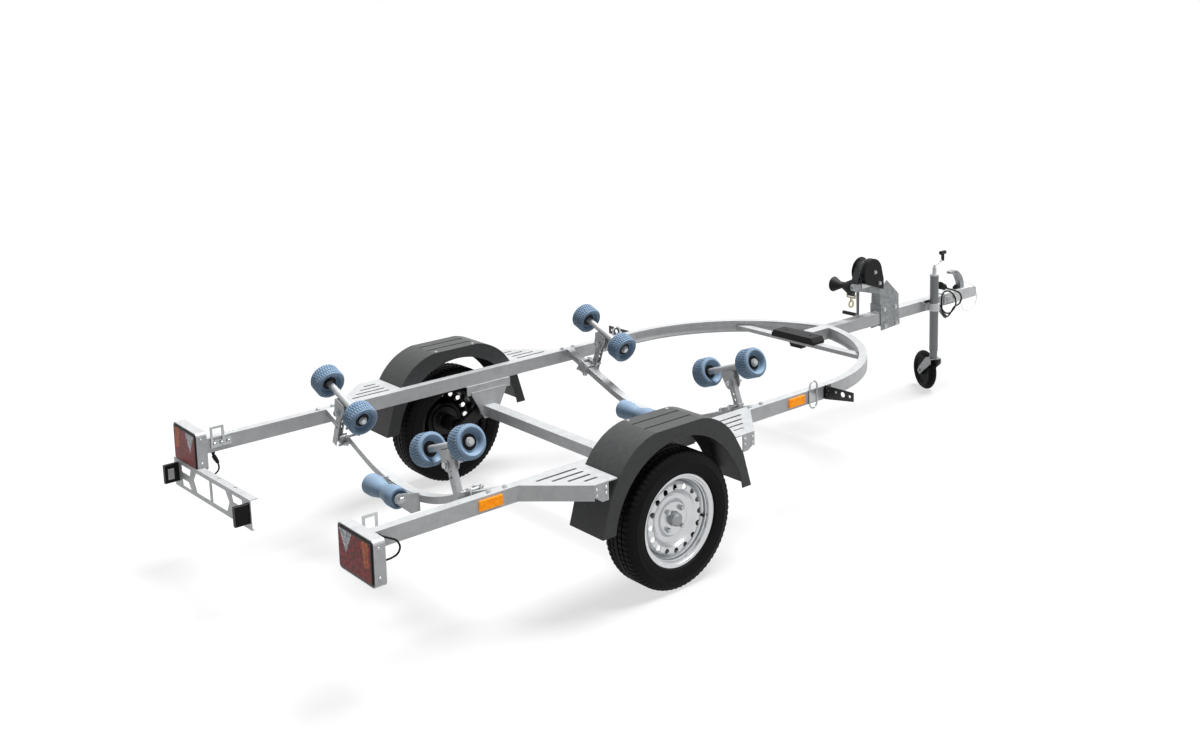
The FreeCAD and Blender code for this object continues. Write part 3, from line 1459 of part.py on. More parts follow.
# ---- jockey wheel --------------------------------------------------------------------------
def jockey_clamp():
    """Split clamp on the side of the drawbar that holds the jockey tube, with its lever."""
    z = (RAIL_Z + 4, RAIL_TOP - 14)
    side = -DRAWBAR_W / 2
    ring_r = JOCKEY_R + 6
    ring = rod((JOCKEY_X, JOCKEY_Y, z[0]), (JOCKEY_X, JOCKEY_Y, z[1]), ring_r)
    pad = block((JOCKEY_X - 34, JOCKEY_X + 34), (side - 12, side), z)
    bore = rod((JOCKEY_X, JOCKEY_Y, z[0] - 1), (JOCKEY_X, JOCKEY_Y, z[1] + 1), JOCKEY_R)
    ear = block((JOCKEY_X + JOCKEY_R, JOCKEY_X + ring_r + 12), (JOCKEY_Y - 6, JOCKEY_Y + 6), z)
    lever = link(
        (JOCKEY_X + ring_r + 4, z[0] + 10),
        (JOCKEY_X + ring_r + 76, z[0] - 54),
        8,
        11,
        "y",
        JOCKEY_Y - 4,
        8,
    )
    return fused([ring, pad, ear, lever]).cut(bore)


def jockey_tube():
    """Outer tube of the jockey, with the cap that its screw turns in."""
    z0, z1 = JOCKEY_TUBE_Z
    tube = pipe((JOCKEY_X, JOCKEY_Y, z0), (JOCKEY_X, JOCKEY_Y, z1), JOCKEY_R, JOCKEY_WALL)
    cap = rod((JOCKEY_X, JOCKEY_Y, z1 - 6), (JOCKEY_X, JOCKEY_Y, z1 + 3), JOCKEY_R + 2)
    neck = rod((JOCKEY_X, JOCKEY_Y, z1), (JOCKEY_X, JOCKEY_Y, z1 + 42), 11)
    return fused([tube, cap, neck])


def jockey_crank():
    """Bent rod and T grip that turn the jockey's screw."""
    z1 = JOCKEY_TUBE_Z[1] + 42
    x_grip = JOCKEY_X + 76
    grip_z = z1 + 72
    post = rod((JOCKEY_X, JOCKEY_Y, z1), (JOCKEY_X, JOCKEY_Y, z1 + 12), 6)
    arm = rod((JOCKEY_X, JOCKEY_Y, z1 + 9), (x_grip, JOCKEY_Y, z1 + 32), 5)
    stem = rod((x_grip, JOCKEY_Y, z1 + 26), (x_grip, JOCKEY_Y, grip_z), 9)
    bar = rod((x_grip - 21, JOCKEY_Y, grip_z), (x_grip + 21, JOCKEY_Y, grip_z), 11)
    return fused([post, arm, stem, bar])


def jockey_stem():
    """Inner tube that the screw drives, with the pin its fork swivels on."""
    stem_top = JOCKEY_TUBE_Z[0] + 236
    stem_low = JOCKEY_FORK_TOP + SIDE_PLAY
    stem = rod((JOCKEY_X, JOCKEY_Y, stem_low), (JOCKEY_X, JOCKEY_Y, stem_top), JOCKEY_STEM_R)
    low = JOCKEY_FORK_TOP - JOCKEY_FORK_T - 4
    pin = rod((JOCKEY_X, JOCKEY_Y, low), (JOCKEY_X, JOCKEY_Y, stem_top), JOCKEY_PIN_R)
    return fused([stem, pin])


def swivelled(shape):
    """Turns a piece of the jockey, drawn trailing straight back, to its rest direction."""
    turned = shape.copy()
    turned.rotate(V(JOCKEY_X, JOCKEY_Y, 0), V(0, 0, 1), JOCKEY_TURN)
    return turned


def jockey_fork():
    """Trailing fork: a bridge that swivels under the stem, and two legs to the axle."""
    wheel_x = JOCKEY_X - JOCKEY_TRAIL
    half = JOCKEY_WHEEL_W / 2 + 5 + JOCKEY_FORK_T
    top = JOCKEY_FORK_TOP
    bridge = block(
        (JOCKEY_X - 24, JOCKEY_X + 26),
        (JOCKEY_Y - half, JOCKEY_Y + half),
        (top - JOCKEY_FORK_T, top),
    )
    pieces = [bridge]
    for start in (JOCKEY_Y - half, JOCKEY_Y + half - JOCKEY_FORK_T):
        outline = [
            (JOCKEY_X - 24, top),
            (JOCKEY_X + 26, top),
            (JOCKEY_X + 26, top - 30),
            (wheel_x + 16, JOCKEY_WHEEL_R - 12),
            (wheel_x - 4, JOCKEY_WHEEL_R - 22, wheel_x - 16, JOCKEY_WHEEL_R),
            (wheel_x - 12, JOCKEY_WHEEL_R + 14),
        ]
        pieces.append(flat(outline, "y", start, JOCKEY_FORK_T))
    end = half + 8
    axle = rod((wheel_x, JOCKEY_Y - end, JOCKEY_WHEEL_R), (wheel_x, JOCKEY_Y + end, JOCKEY_WHEEL_R), 8)
    pin_hole = rod((JOCKEY_X, JOCKEY_Y, top - 20), (JOCKEY_X, JOCKEY_Y, top + 1), JOCKEY_PIN_R + RUN)
    return swivelled(fused(pieces + [axle]).cut(pin_hole))


def jockey_wheel():
    """Solid rubber tyre on a moulded centre."""
    half = JOCKEY_WHEEL_W / 2
    r = JOCKEY_WHEEL_R
    outline = [
        (-half, 8 + RUN),
        (-half, 24),
        (10 - half, 28),
        (10 - half, r - 42),
        (-half * 0.9, r - 34),
        (-half, r - 24, -half * 0.66, r - 8),
        (0, r, half * 0.66, r - 8),
        (half, r - 24, half * 0.9, r - 34),
        (half - 10, r - 42),
        (half - 10, 28),
        (half, 24),
        (half, 8 + RUN),
    ]
    return swivelled(lathe(outline, (JOCKEY_X - JOCKEY_TRAIL, JOCKEY_Y, r), (0, 1, 0)))


# ---- coupling ------------------------------------------------------------------------------
def coupling():
    """Cast coupling head on the end of the drawbar, with the socket for the tow ball."""
    half = COUPLING_W / 2
    side = [
        (DRAWBAR_FRONT_X - 90, RAIL_TOP),
        (DRAWBAR_FRONT_X - 90, RAIL_TOP + 8),
        (DRAWBAR_FRONT_X + 20, RAIL_TOP + 8),
        (COUPLING_BALL_X - 30, COUPLING_TOP + 4),
        (COUPLING_BALL_X, COUPLING_TOP),
        (COUPLING_BALL_X + 34, COUPLING_TOP - 6, NOSE_X, COUPLING_Z + 20),
        (NOSE_X, COUPLING_Z - 8),
        (COUPLING_BALL_X - 46, COUPLING_Z - 8),
        (DRAWBAR_FRONT_X, RAIL_Z),
        (DRAWBAR_FRONT_X, RAIL_TOP),
    ]
    body = flat(side, "y", -half, COUPLING_W)
    low, high = COUPLING_Z - 10, COUPLING_TOP + 12
    nose = rod((COUPLING_BALL_X, 0, low), (COUPLING_BALL_X, 0, high), NOSE_X - COUPLING_BALL_X)
    shank = block((DRAWBAR_FRONT_X - 92, COUPLING_BALL_X), (-half - 1, half + 1), (0, RAIL_TOP + 20))
    body = body.common(fused([nose, shank]))
    cheeks = []
    for y in ((DRAWBAR_W / 2, half + 4), (-half - 4, -DRAWBAR_W / 2)):
        cheeks.append(block((DRAWBAR_FRONT_X - 90, DRAWBAR_FRONT_X + 30), y, (RAIL_Z + 8, RAIL_TOP + 8)))
    socket = rod((COUPLING_BALL_X, 0, COUPLING_Z - 20), (COUPLING_BALL_X, 0, COUPLING_Z + 20), BALL_R)
    crown = Part.makeSphere(BALL_R, V(COUPLING_BALL_X, 0, COUPLING_Z + 20 - 8))
    return fused([body] + cheeks).cut([socket, crown])


def coupling_handle():
    """Locking lever on top of the coupling, curved up and back."""
    base = COUPLING_TOP + 4.5
    top = COUPLING_TOP + 120
    x = COUPLING_BALL_X
    outline = [
        (x - 94, base),
        (x - 62, base),
        (x - 84, base + 74, x - 146, top),
        (x - 188, top - 5),
        (x - 188, top - 17),
        (x - 148, top - 16),
        (x - 112, base + 58, x - 94, base),
    ]
    return flat(outline, "y", -COUPLING_GRIP_W / 2, COUPLING_GRIP_W)


# ---- leads ---------------------------------------------------------------------------------
LEAD_R = 4.5
CABLE_R = 1.5
PLUG_R = 21.0
PLUG_L = 58.0

# route of the plug lead: ahead of the jockey's axis, y, above the drawbar's underside
PLUG_LEAD = (
    (-56.0, -36.0, 53.0),
    (-2.0, -36.0, 53.0),
    (50.0, -39.0, 50.0),
    (86.0, -47.0, 10.0),
    (112.0, -53.0, -28.0),
    (146.0, -58.0, -44.0),
    (184.0, -61.0, -34.0),
    (216.0, -64.0, -2.0),
    (206.0, -64.0, 44.0),
    (168.0, -62.0, 81.0),
    (118.0, -62.0, 97.0),
    (74.0, -66.0, 86.0),
    (56.0, -75.0, 46.0),
    (52.0, -82.0, 2.0),
    (64.0, -86.0, -34.0),
    (96.0, -89.0, -48.0),
    (128.0, -91.0, -24.0),
    (156.0, -93.0, 8.0),
    (194.0, -94.0, 6.0),
    (224.0, -94.0, 32.0),
    (214.0, -92.0, 70.0),
    (174.0, -88.0, 91.0),
    (130.0, -83.0, 104.0),
    (98.0, -78.0, 118.0),
)

# route of the breakaway cable: from the tow ball's axis, y, above the drawbar's underside
BREAKAWAY = (
    (-63.0, -COUPLING_GRIP_W / 2, 101.0),
    (-63.0, -45.0, 101.0),
    (-38.0, -64.0, 80.0),
    (-13.0, -68.0, 39.0),
    (-11.0, -68.0, -7.0),
    (-37.0, -66.0, -43.0),
    (-83.0, -64.0, -59.0),
    (-133.0, -64.0, -47.0),
    (-161.0, -68.0, -18.0),
    (-175.0, -72.0, 15.0),
    (-175.0, -COUPLING_W / 2 - 4, 17.0),
)


def plug_lead():
    route = [(JOCKEY_X + dx, y, RAIL_Z + rise) for dx, y, rise in PLUG_LEAD]
    return cord("plug lead", route, LEAD_R)


def plug():
    """Plug of the lighting lead, in line with the lead's last run."""
    (ax, ay, az), (bx, by, bz) = PLUG_LEAD[-2:]
    outline = [
        (0, 0),
        (0, LEAD_R + 3),
        (14, LEAD_R + 5),
        (18, PLUG_R - 3),
        (PLUG_L - 16, PLUG_R - 3),
        (PLUG_L - 14, PLUG_R),
        (PLUG_L, PLUG_R),
        (PLUG_L, 0),
    ]
    return lathe(outline, (JOCKEY_X + bx, by, RAIL_Z + bz), (bx - ax, by - ay, bz - az))


def breakaway_cable():
    route = [(COUPLING_BALL_X + dx, y, RAIL_Z + rise) for dx, y, rise in BREAKAWAY]
    return cord("breakaway cable", route, CABLE_R)


# ---- build ---------------------------------------------------------------------------------
os.makedirs("parts", exist_ok=True)

save("side_rail_left", side_rail())
save("side_rail_right", mirrored(side_rail()))
save("bow", pair(bow_half()))
save("drawbar", drawbar())
save("dropped_crossmembers", group([crossmember(CROSS_REAR_X), crossmember(CROSS_FRONT_X)]))
save("bow_bar", bow_bar())
save("keel_pad", keel_pad())
save("pad_bumper", pad_bumper())

save("axle_beam", axle_beam())
save("step_plates", group([pair(step_plate(1)), pair(step_plate(-1))]))
save("axle_hangers", pair(axle_hanger()))
save("swing_arms", pair(swing_arm()))
for side, place in (("left", lambda s: s), ("right", mirrored)):
    save("wheel_hub_" + side, place(wheel_hub()))
    save("wheel_rim_" + side, place(rim()))
    save("tyre_" + side, place(tyre()))
    save("mudguard_" + side, place(mudguard()))

# roller stations: name, pivot, crossmember face the post stands on, direction off that face
STATIONS = (
    ("rear", REAR_PIVOT, CROSS_REAR_X, -1),
    ("front", FRONT_PIVOT, CROSS_FRONT_X + CROSS_W, 1),
)
for end, pivot, face_x, away in STATIONS:
    post_x = post_start(face_x, away)
    save("roller_posts_" + end, pair(roller_post(pivot, face_x, away)))
    for side, place in (("left", lambda s: s), ("right", mirrored)):
        save("rocker_" + end + "_" + side, place(rocker(pivot, post_x)))
        save("roller_pair_" + end + "_" + side, place(roller_pair(pivot, post_x)))
save("keel_brackets", group([keel_bracket(CROSS_REAR_X), keel_bracket(CROSS_FRONT_X)]))
save("keel_roller_rear", keel_roller(CROSS_REAR_X))
save("keel_roller_front", keel_roller(CROSS_FRONT_X))

save("lamp_boxes", pair(lamp_box()))
save("rear_lamps", pair(lamp_unit()))
save("plate_holder", plate_holder())
save("plate_lamps", plate_lamps())
save("lamp_leads", lamp_leads())
save("tie_downs", group([pair(rear_tie_down()), pair(front_tie_down())]))
save("side_reflectors", reflectors())
save("marker_brackets", pair(marker_bracket()))

save("winch_post", winch_post())
save("bow_roller", bow_roller())
save("winch_frame", winch_frame())
save("winch_cover", winch_cover())
save("winch_drum", winch_drum())
save("winch_strap", winch_strap())
save("snap_hook", snap_hook())
save("winch_crank", winch_crank())

save("jockey_clamp", jockey_clamp())
save("jockey_tube", jockey_tube())
save("jockey_crank", jockey_crank())
save("jockey_stem", jockey_stem())
save("jockey_fork", jockey_fork())
save("jockey_wheel", jockey_wheel())

save("coupling", coupling())
save("coupling_handle", coupling_handle())

save("plug_lead", plug_lead())
save("plug", plug())
save("breakaway_cable", breakaway_cable())
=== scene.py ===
import math

import bmesh
import bpy
from mathutils import Matrix, Vector


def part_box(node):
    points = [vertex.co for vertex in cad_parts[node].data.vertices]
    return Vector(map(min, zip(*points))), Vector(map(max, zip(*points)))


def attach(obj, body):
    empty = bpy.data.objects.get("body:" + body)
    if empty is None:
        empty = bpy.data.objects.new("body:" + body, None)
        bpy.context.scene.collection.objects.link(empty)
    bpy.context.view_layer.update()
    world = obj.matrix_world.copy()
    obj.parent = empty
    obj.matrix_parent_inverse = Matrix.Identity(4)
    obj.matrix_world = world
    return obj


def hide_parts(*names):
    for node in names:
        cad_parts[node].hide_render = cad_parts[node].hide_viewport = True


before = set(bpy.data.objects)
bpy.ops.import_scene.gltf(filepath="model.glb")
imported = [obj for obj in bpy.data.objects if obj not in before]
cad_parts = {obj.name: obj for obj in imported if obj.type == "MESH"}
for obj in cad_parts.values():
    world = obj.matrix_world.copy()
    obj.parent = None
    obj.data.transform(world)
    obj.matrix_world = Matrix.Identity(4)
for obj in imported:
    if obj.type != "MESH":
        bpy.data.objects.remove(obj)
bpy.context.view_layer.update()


# ---- camera --------------------------------------------------------------------------------
# A person's view from behind the right rear lamp, a little above head height. The lens is long
# enough to keep the side rails nearly parallel.
camera_place = (-4.0868, -4.2193, 2.2625)
camera_heading = math.radians(50.09)
camera_dip = math.radians(8.16)
camera_roll = math.radians(-1.43)

forward = Vector((
    math.cos(camera_heading) * math.cos(camera_dip),
    math.sin(camera_heading) * math.cos(camera_dip),
    -math.sin(camera_dip),
))
level = Vector((math.sin(camera_heading), -math.cos(camera_heading), 0))
upright = level.cross(forward)
right = math.cos(camera_roll) * level + math.sin(camera_roll) * upright
up = math.cos(camera_roll) * upright - math.sin(camera_roll) * level
lens = bpy.data.cameras.new("camera")
lens.lens = 38.26
lens.shift_y = -0.165
camera = bpy.data.objects.new("camera", lens)
bpy.context.scene.collection.objects.link(camera)
camera.matrix_world = Matrix.Translation(camera_place) @ Matrix((right, up, -forward)).transposed().to_4x4()
bpy.context.scene.camera = camera


# ---- lighting lead and breakaway cable -----------------------------------------------------
# The lighting lead is a 9 mm rubber-sheathed cable hung in loose loops on the coupling. The
# breakaway cable is a 3 mm steel strand in clear PVC, from the handle down to the coupling.
def linear(code):
    """sRGB hex colour as linear RGBA."""
    shares = [int(code[i:i + 2], 16) / 255 for i in (1, 3, 5)]
    bright = [s / 12.92 if s <= 0.04045 else ((s + 0.055) / 1.055) ** 2.4 for s in shares]
    return (*bright, 1.0)


def add(tree, kind, inputs=None, **settings):
    """Adds a shader node with its settings; its inputs are values or other nodes' outputs."""
    made = tree.nodes.new("ShaderNode" + kind)
    for key, value in settings.items():
        setattr(made, key, value)
    for key, value in (inputs or {}).items():
        if isinstance(value, bpy.types.NodeSocket):
            tree.links.new(value, made.inputs[key])
        else:
            made.inputs[key].default_value = value
    return made


def new_finish(name, metallic=0.0, **sockets):
    """A material with its shader, and the place on the object in metres."""
    material = bpy.data.materials.new(name)
    material.use_nodes = True
    tree = material.node_tree
    shader = tree.nodes["Principled BSDF"]
    shader.inputs["Metallic"].default_value = metallic
    for key, value in sockets.items():
        shader.inputs[key.replace("_", " ")].default_value = value
    place = add(tree, "TexCoord").outputs["Object"]
    return material, tree, shader, place


def grained(name, dark, light, grain, roughness, relief=0.0, metallic=0.0, **sockets):
    """Finish whose tone and gloss wander over patches of one size, with relief of that size."""
    material, tree, shader, place = new_finish(name, metallic, **sockets)
    fine = add(tree, "TexNoise", {"Vector": place, "Scale": 1 / grain, "Detail": 4.0})
    broad = add(tree, "TexNoise", {"Vector": place, "Scale": 0.08 / grain, "Detail": 2.0})
    both = add(tree, "Math", {0: fine.outputs["Fac"], 1: broad.outputs["Fac"]}, operation="ADD")
    share = add(tree, "MapRange", {"Value": both.outputs[0], "From Min": 0.75, "From Max": 1.25})
    tone = add(tree, "Mix", {0: share.outputs[0], 6: linear(dark), 7: linear(light)}, data_type="RGBA")
    gloss = add(tree, "MapRange", {
        "Value": fine.outputs["Fac"],
        "To Min": roughness - 0.08,
        "To Max": roughness + 0.08,
    })
    tree.links.new(tone.outputs[2], shader.inputs["Base Color"])
    tree.links.new(gloss.outputs[0], shader.inputs["Roughness"])
    if relief:
        bump = add(tree, "Bump", {"Height": fine.outputs["Fac"], "Distance": relief, "Strength": 0.6})
        tree.links.new(bump.outputs[0], shader.inputs["Normal"])
    return material


def dress(finish, *names):
    """Gives CAD nodes their finish."""
    for name in names:
        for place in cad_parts[name].material_slots:
            place.material = finish


def cord_piece(name, points, width, finish):
    """A cord on one smooth curve through its route."""
    curve = bpy.data.curves.new(name, "CURVE")
    curve.dimensions = "3D"
    line = curve.splines.new("NURBS")
    line.points.add(len(points) - 1)
    for point, place in zip(line.points, points):
        point.co = (*place, 1)
    line.order_u = 3
    line.use_endpoint_u = True
    line.resolution_u = 10
    curve.bevel_depth = width / 2
    curve.bevel_resolution = 4
    curve.use_fill_caps = True
    curve.materials.append(finish)
    cord = bpy.data.objects.new(name, curve)
    bpy.context.scene.collection.objects.link(cord)
    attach(cord, "frame")
    return cord


# rubber sheath, extruded: dull black with a faint drag along it
sheath_rubber = grained("extruded_rubber_sheath", "#060607", "#0b0b0c", 0.004, 0.52, Specular_IOR_Level=0.15)
# polyamide housing, moulded: even black with a soft gloss
black_polyamide = grained(
    "moulded_black_polyamide", "#080809", "#0e0e10", 0.0015, 0.42, 0.00008, Specular_IOR_Level=0.15
)
# steel strand seen through clear PVC: pale, with a wet gloss
clad_strand = grained("strand_in_clear_pvc", "#c9cccd", "#eceded", 0.003, 0.3, Coat_Weight=0.6)

drawbar_under = 0.475
jockey_x = 1.8025
lead_width = 0.009
lead_route = (
    (-0.056, -0.036, 0.053),
    (-0.002, -0.036, 0.053),
    (0.050, -0.039, 0.050),
    (0.086, -0.047, 0.010),
    (0.112, -0.053, -0.028),
    (0.146, -0.058, -0.044),
    (0.184, -0.061, -0.034),
    (0.216, -0.064, -0.002),
    (0.206, -0.064, 0.044),
    (0.168, -0.062, 0.081),
    (0.118, -0.062, 0.097),
    (0.074, -0.066, 0.086),
    (0.056, -0.075, 0.046),
    (0.052, -0.082, 0.002),
    (0.064, -0.086, -0.034),
    (0.096, -0.089, -0.048),
    (0.128, -0.091, -0.024),
    (0.156, -0.093, 0.008),
    (0.194, -0.094, 0.006),
    (0.224, -0.094, 0.032),
    (0.214, -0.092, 0.070),
    (0.174, -0.088, 0.091),
    (0.130, -0.083, 0.104),
    (0.098, -0.078, 0.118),
)
lead_points = [(jockey_x + x, y, drawbar_under + z) for x, y, z in lead_route]
lead = cord_piece("lighting_lead", lead_points, lead_width, sheath_rubber)
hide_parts("plug_lead")
dress(black_polyamide, "plug")

ball_x = 2.2235
cable_width = 0.003
cable_route = (
    (-0.063, -0.016, 0.101),
    (-0.063, -0.045, 0.101),
    (-0.038, -0.064, 0.080),
    (-0.013, -0.068, 0.039),
    (-0.011, -0.068, -0.007),
    (-0.037, -0.066, -0.043),
    (-0.083, -0.064, -0.059),
    (-0.133, -0.064, -0.047),
    (-0.161, -0.068, -0.018),
    (-0.175, -0.072, 0.015),
    (-0.175, -0.036, 0.017),
)
cable_points = [(ball_x + x, y, drawbar_under + z) for x, y, z in cable_route]
cable = cord_piece("breakaway_strand", cable_points, cable_width, clad_strand)
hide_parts("breakaway_cable")


# ---- frame, bow, drawbar and crossmembers --------------------------------------------------
# Welded steel box section, hot-dip galvanised after welding: a dull zinc skin in crystals about
# 8 mm across, paler where the zinc ran thin.
def galvanised(name, dark, light, crystal, contrast, roughness=0.46, metallic=0.55):
    """Zinc in flat crystals, each of its own tone, over slow drifts of tone."""
    material, tree, shader, place = new_finish(name, metallic)
    crystals = add(tree, "TexVoronoi", {"Vector": place, "Scale": 1 / crystal})
    spread = add(tree, "SeparateColor", {0: crystals.outputs["Color"]})
    drift = add(tree, "TexNoise", {"Vector": place, "Scale": 0.2 / crystal, "Detail": 5.0})
    weighed = add(tree, "Math", {0: spread.outputs[0], 1: contrast}, operation="MULTIPLY")
    both = add(tree, "Math", {0: weighed.outputs[0], 1: drift.outputs["Fac"]}, operation="ADD")
    share = add(tree, "MapRange", {
        "Value": both.outputs[0],
        "From Min": 0.35,
        "From Max": 0.65 + contrast,
    })
    tone = add(tree, "Mix", {0: share.outputs[0], 6: linear(dark), 7: linear(light)}, data_type="RGBA")
    gloss = add(tree, "MapRange", {
        "Value": spread.outputs[1],
        "To Min": roughness - 0.06,
        "To Max": roughness + 0.08,
    })
    bump = add(tree, "Bump", {"Height": drift.outputs["Fac"], "Distance": 0.0004, "Strength": 0.4})
    tree.links.new(tone.outputs[2], shader.inputs["Base Color"])
    tree.links.new(gloss.outputs[0], shader.inputs["Roughness"])
    tree.links.new(bump.outputs[0], shader.inputs["Normal"])
    return material


frame_zinc = galvanised("hot_dip_galvanised_steel", "#b7b9bb", "#c5c7c8", 0.008, 0.15, metallic=0.3)
dress(
    frame_zinc,
    "side_rail_left",
    "side_rail_right",
    "bow",
    "drawbar",
    "dropped_crossmembers",
    "bow_bar",
    "axle_beam",
    "axle_hangers",
    "step_plates",
    "keel_brackets",
    "roller_posts_rear",
    "roller_posts_front",
    "lamp_boxes",
    "plate_holder",
)


# ---- bolts on the frame --------------------------------------------------------------------
# Zinc-plated hexagon bolts with their nuts on flat washers, M10 and M12. The M10 ones hold the
# axle's hangers to the rails from outside, and come up through the rails at each crossmember.
def turned(profile, steps=24, closed=False):
    """Points and faces of a profile of (radius, height) turned about Z."""
    points, faces = [], []
    rows = len(profile)
    for i in range(steps):
        angle = 2 * math.pi * i / steps
        for radius, height in profile:
            points.append((radius * math.cos(angle), radius * math.sin(angle), height))
    for i in range(steps):
        a, b = i * rows, (i + 1) % steps * rows
        for j in range(rows if closed else rows - 1):
            k = (j + 1) % rows
            faces.append((a + j, b + j, b + k, a + k))
    if not closed:
        faces.append(tuple(i * rows for i in range(steps)))
        faces.append(tuple(i * rows + rows - 1 for i in range(steps)))
    return points, faces


def placed(shape, place, direction=(0, 0, 1)):
    """A shape moved to a place, its Z turned to a direction."""
    turn = Vector(direction).to_track_quat("Z", "Y").to_matrix()
    return [turn @ Vector(point) + Vector(place) for point in shape[0]], shape[1]


def joined(shapes):
    """Several shapes as one."""
    points, faces = [], []
    for more, sides in shapes:
        start = len(points)
        points += list(more)
        faces += [tuple(start + i for i in side) for side in sides]
    return points, faces


def piece(name, shape, finish, body):
    """One piece of the trailer from its points and faces, on its body."""
    mesh = bpy.data.meshes.new(name)
    mesh.from_pydata([tuple(point) for point in shape[0]], [], shape[1])
    edit = bmesh.new()
    edit.from_mesh(mesh)
    bmesh.ops.recalc_face_normals(edit, faces=edit.faces)
    edit.to_mesh(mesh)
    edit.free()
    mesh.polygons.foreach_set("use_smooth", [True] * len(mesh.polygons))
    mesh.set_sharp_from_angle(angle=math.radians(32))
    mesh.materials.append(finish)
    made = bpy.data.objects.new(name, mesh)
    bpy.context.scene.collection.objects.link(made)
    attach(made, body)
    return made


def hex_bolt(across, head, washer):
    """Hexagon head with a chamfered top, on its washer."""
    corner = across / 2 / math.cos(math.radians(30))
    thick = washer * 0.09
    plate = turned([(washer / 2, 0), (washer / 2, thick * 0.8), (washer / 2 - thick * 0.4, thick)], 20)
    nut = turned([
        (corner, thick),
        (corner, thick + head * 0.8),
        (corner * 0.84, thick + head),
    ], 6)
    return joined([plate, nut])


def both_sides(spots):
    """Places and directions on the left, and the same on the right."""
    mirrored = [((x, -y, z), (u, -v, w)) for (x, y, z), (u, v, w) in spots]
    return list(spots) + mirrored


m12 = hex_bolt(0.019, 0.008, 0.026)
m10 = hex_bolt(0.016, 0.007, 0.021)
# electro-plated zinc: bright, slightly blue, smoother than the hot-dip skin
plated_zinc = grained("electroplated_zinc", "#a9acae", "#c6c8c8", 0.006, 0.3, metallic=0.9)

rail_in = 0.616
rail_out = 0.656
rail_top = 0.535
hanger_x = (-0.995, -0.925, -0.845, -0.775)
hanger_z = 0.497
clamp_x = (-1.640, -1.570, -0.300, -0.230)
hanger_bolts = [((x, rail_out, hanger_z), (0, 1, 0)) for x in hanger_x]
rail_bolts = [((x, (rail_in + rail_out) / 2, rail_top), (0, 0, 1)) for x in clamp_x]
piece(
    "frame_bolts",
    joined([placed(m10, *spot) for spot in both_sides(hanger_bolts + rail_bolts)]),
    plated_zinc,
    "frame",
)


# ---- step plates ---------------------------------------------------------------------------
# Folded zinc-coated plates ahead of and behind each mudguard, slotted for grip. Four small domed
# bolts in each outer skirt hold the mudguard to it.
def domed_bolt(radius):
    """Low round head, as on a coach bolt."""
    return turned([
        (radius, 0),
        (radius, radius * 0.15),
        (radius * 0.8, radius * 0.4),
        (radius * 0.4, radius * 0.52),
        (radius * 0.05, radius * 0.55),
    ], 16)


step_middle = -0.9105
step_square = 0.416
step_out = 0.846
step_spots = []
for end in (1, -1):
    for z in (0.492, 0.514):
        for inward in (0.010, 0.054):
            step_spots.append(((step_middle + end * (step_square - inward), step_out, z), (0, 1, 0)))
piece(
    "step_bolts",
    joined([placed(domed_bolt(0.006), *spot) for spot in both_sides(step_spots)]),
    plated_zinc,
    "frame",
)


# ---- wheels --------------------------------------------------------------------------------
# 13 inch pressed steel rims, held by four nuts on a cast hub, with 155 mm radial tyres that have
# four grooves and cut shoulders. Their side walls carry no lettering.
def two_tone(name, colour, other, pick, roughness, metallic=0.0, **sockets):
    """Finish with a second colour where a test on the place on the trailer says so."""
    material, tree, shader, place = new_finish(name, metallic, Roughness=roughness, **sockets)
    axes = add(tree, "SeparateXYZ", {0: place}).outputs
    share = pick(tree, axes)
    tone = add(tree, "Mix", {0: share, 6: linear(colour), 7: linear(other)}, data_type="RGBA")
    tree.links.new(tone.outputs[2], shader.inputs["Base Color"])
    return material


def rim_back_painted_shade(tree, axes):
    """The rim's inner half and the back of its disc, which are painted black as shade."""
    facing = add(tree, "SeparateXYZ", {0: add(tree, "NewGeometry").outputs["Normal"]}).outputs
    reach = add(tree, "Math", {0: axes[1]}, operation="ABSOLUTE")
    inner = add(tree, "Math", {0: reach.outputs[0], 1: 0.780}, operation="LESS_THAN")
    outward = add(tree, "Math", {0: axes[1], 1: facing[1]}, operation="MULTIPLY")
    behind = add(tree, "Math", {0: outward.outputs[0], 1: -0.1}, operation="LESS_THAN")
    return add(tree, "Math", {0: inner.outputs[0], 1: behind.outputs[0]}, operation="MAXIMUM").outputs[0]


# aluminium-flake lacquer, sprayed: a bright silver outer face, with painted shade in black on the rim's inner
# half and the back of its disc
silver_lacquer_and_painted_shade = two_tone("silver_wheel_lacquer_and_painted_shade", "#d3d5d7", "#0c0c0d", rim_back_painted_shade, 0.28, 0.8)
# cast hub: grey zinc where it stands through the rim, with painted shade in black behind
hub_coating = two_tone("hub_zinc_and_painted_shade", "#a3a6a8", "#0e0e0f", rim_back_painted_shade, 0.4, 0.5)
# tyre rubber, moulded and cured: near-black, duller on the tread than on the side wall
tyre_rubber = grained("cured_tyre_rubber", "#0a0a0b", "#121213", 0.006, 0.6, 0.00015, Specular_IOR_Level=0.1)

axle_x = -0.9015
wheel_y = 0.772
wheel_z = 0.2735
tread_radius = 0.2735
tread_half = 0.0775
flange_radius = 0.183
seat_radius = 0.165
bead_half = 0.056
groove_depth = 0.007
groove_half = 0.0032
pitches = 72
pitch_lines = 4
# from the bead to the shoulder, as (radius, y)
side_wall = [
    (flange_radius + 0.0015, bead_half + 0.009),
    (flange_radius + 0.004, tread_half * 0.93),
    (flange_radius + 0.008, tread_half * 0.955),
    (flange_radius + 0.011, tread_half * 0.945),
    (flange_radius + 0.020, tread_half * 0.985),
    (flange_radius + 0.034, tread_half),
    (flange_radius + 0.046, tread_half * 1.0),
    (flange_radius + 0.048, tread_half * 1.01),
    (flange_radius + 0.050, tread_half * 0.995),
    (flange_radius + 0.060, tread_half * 0.975),
    (tread_radius - 0.026, tread_half * 0.955),
]
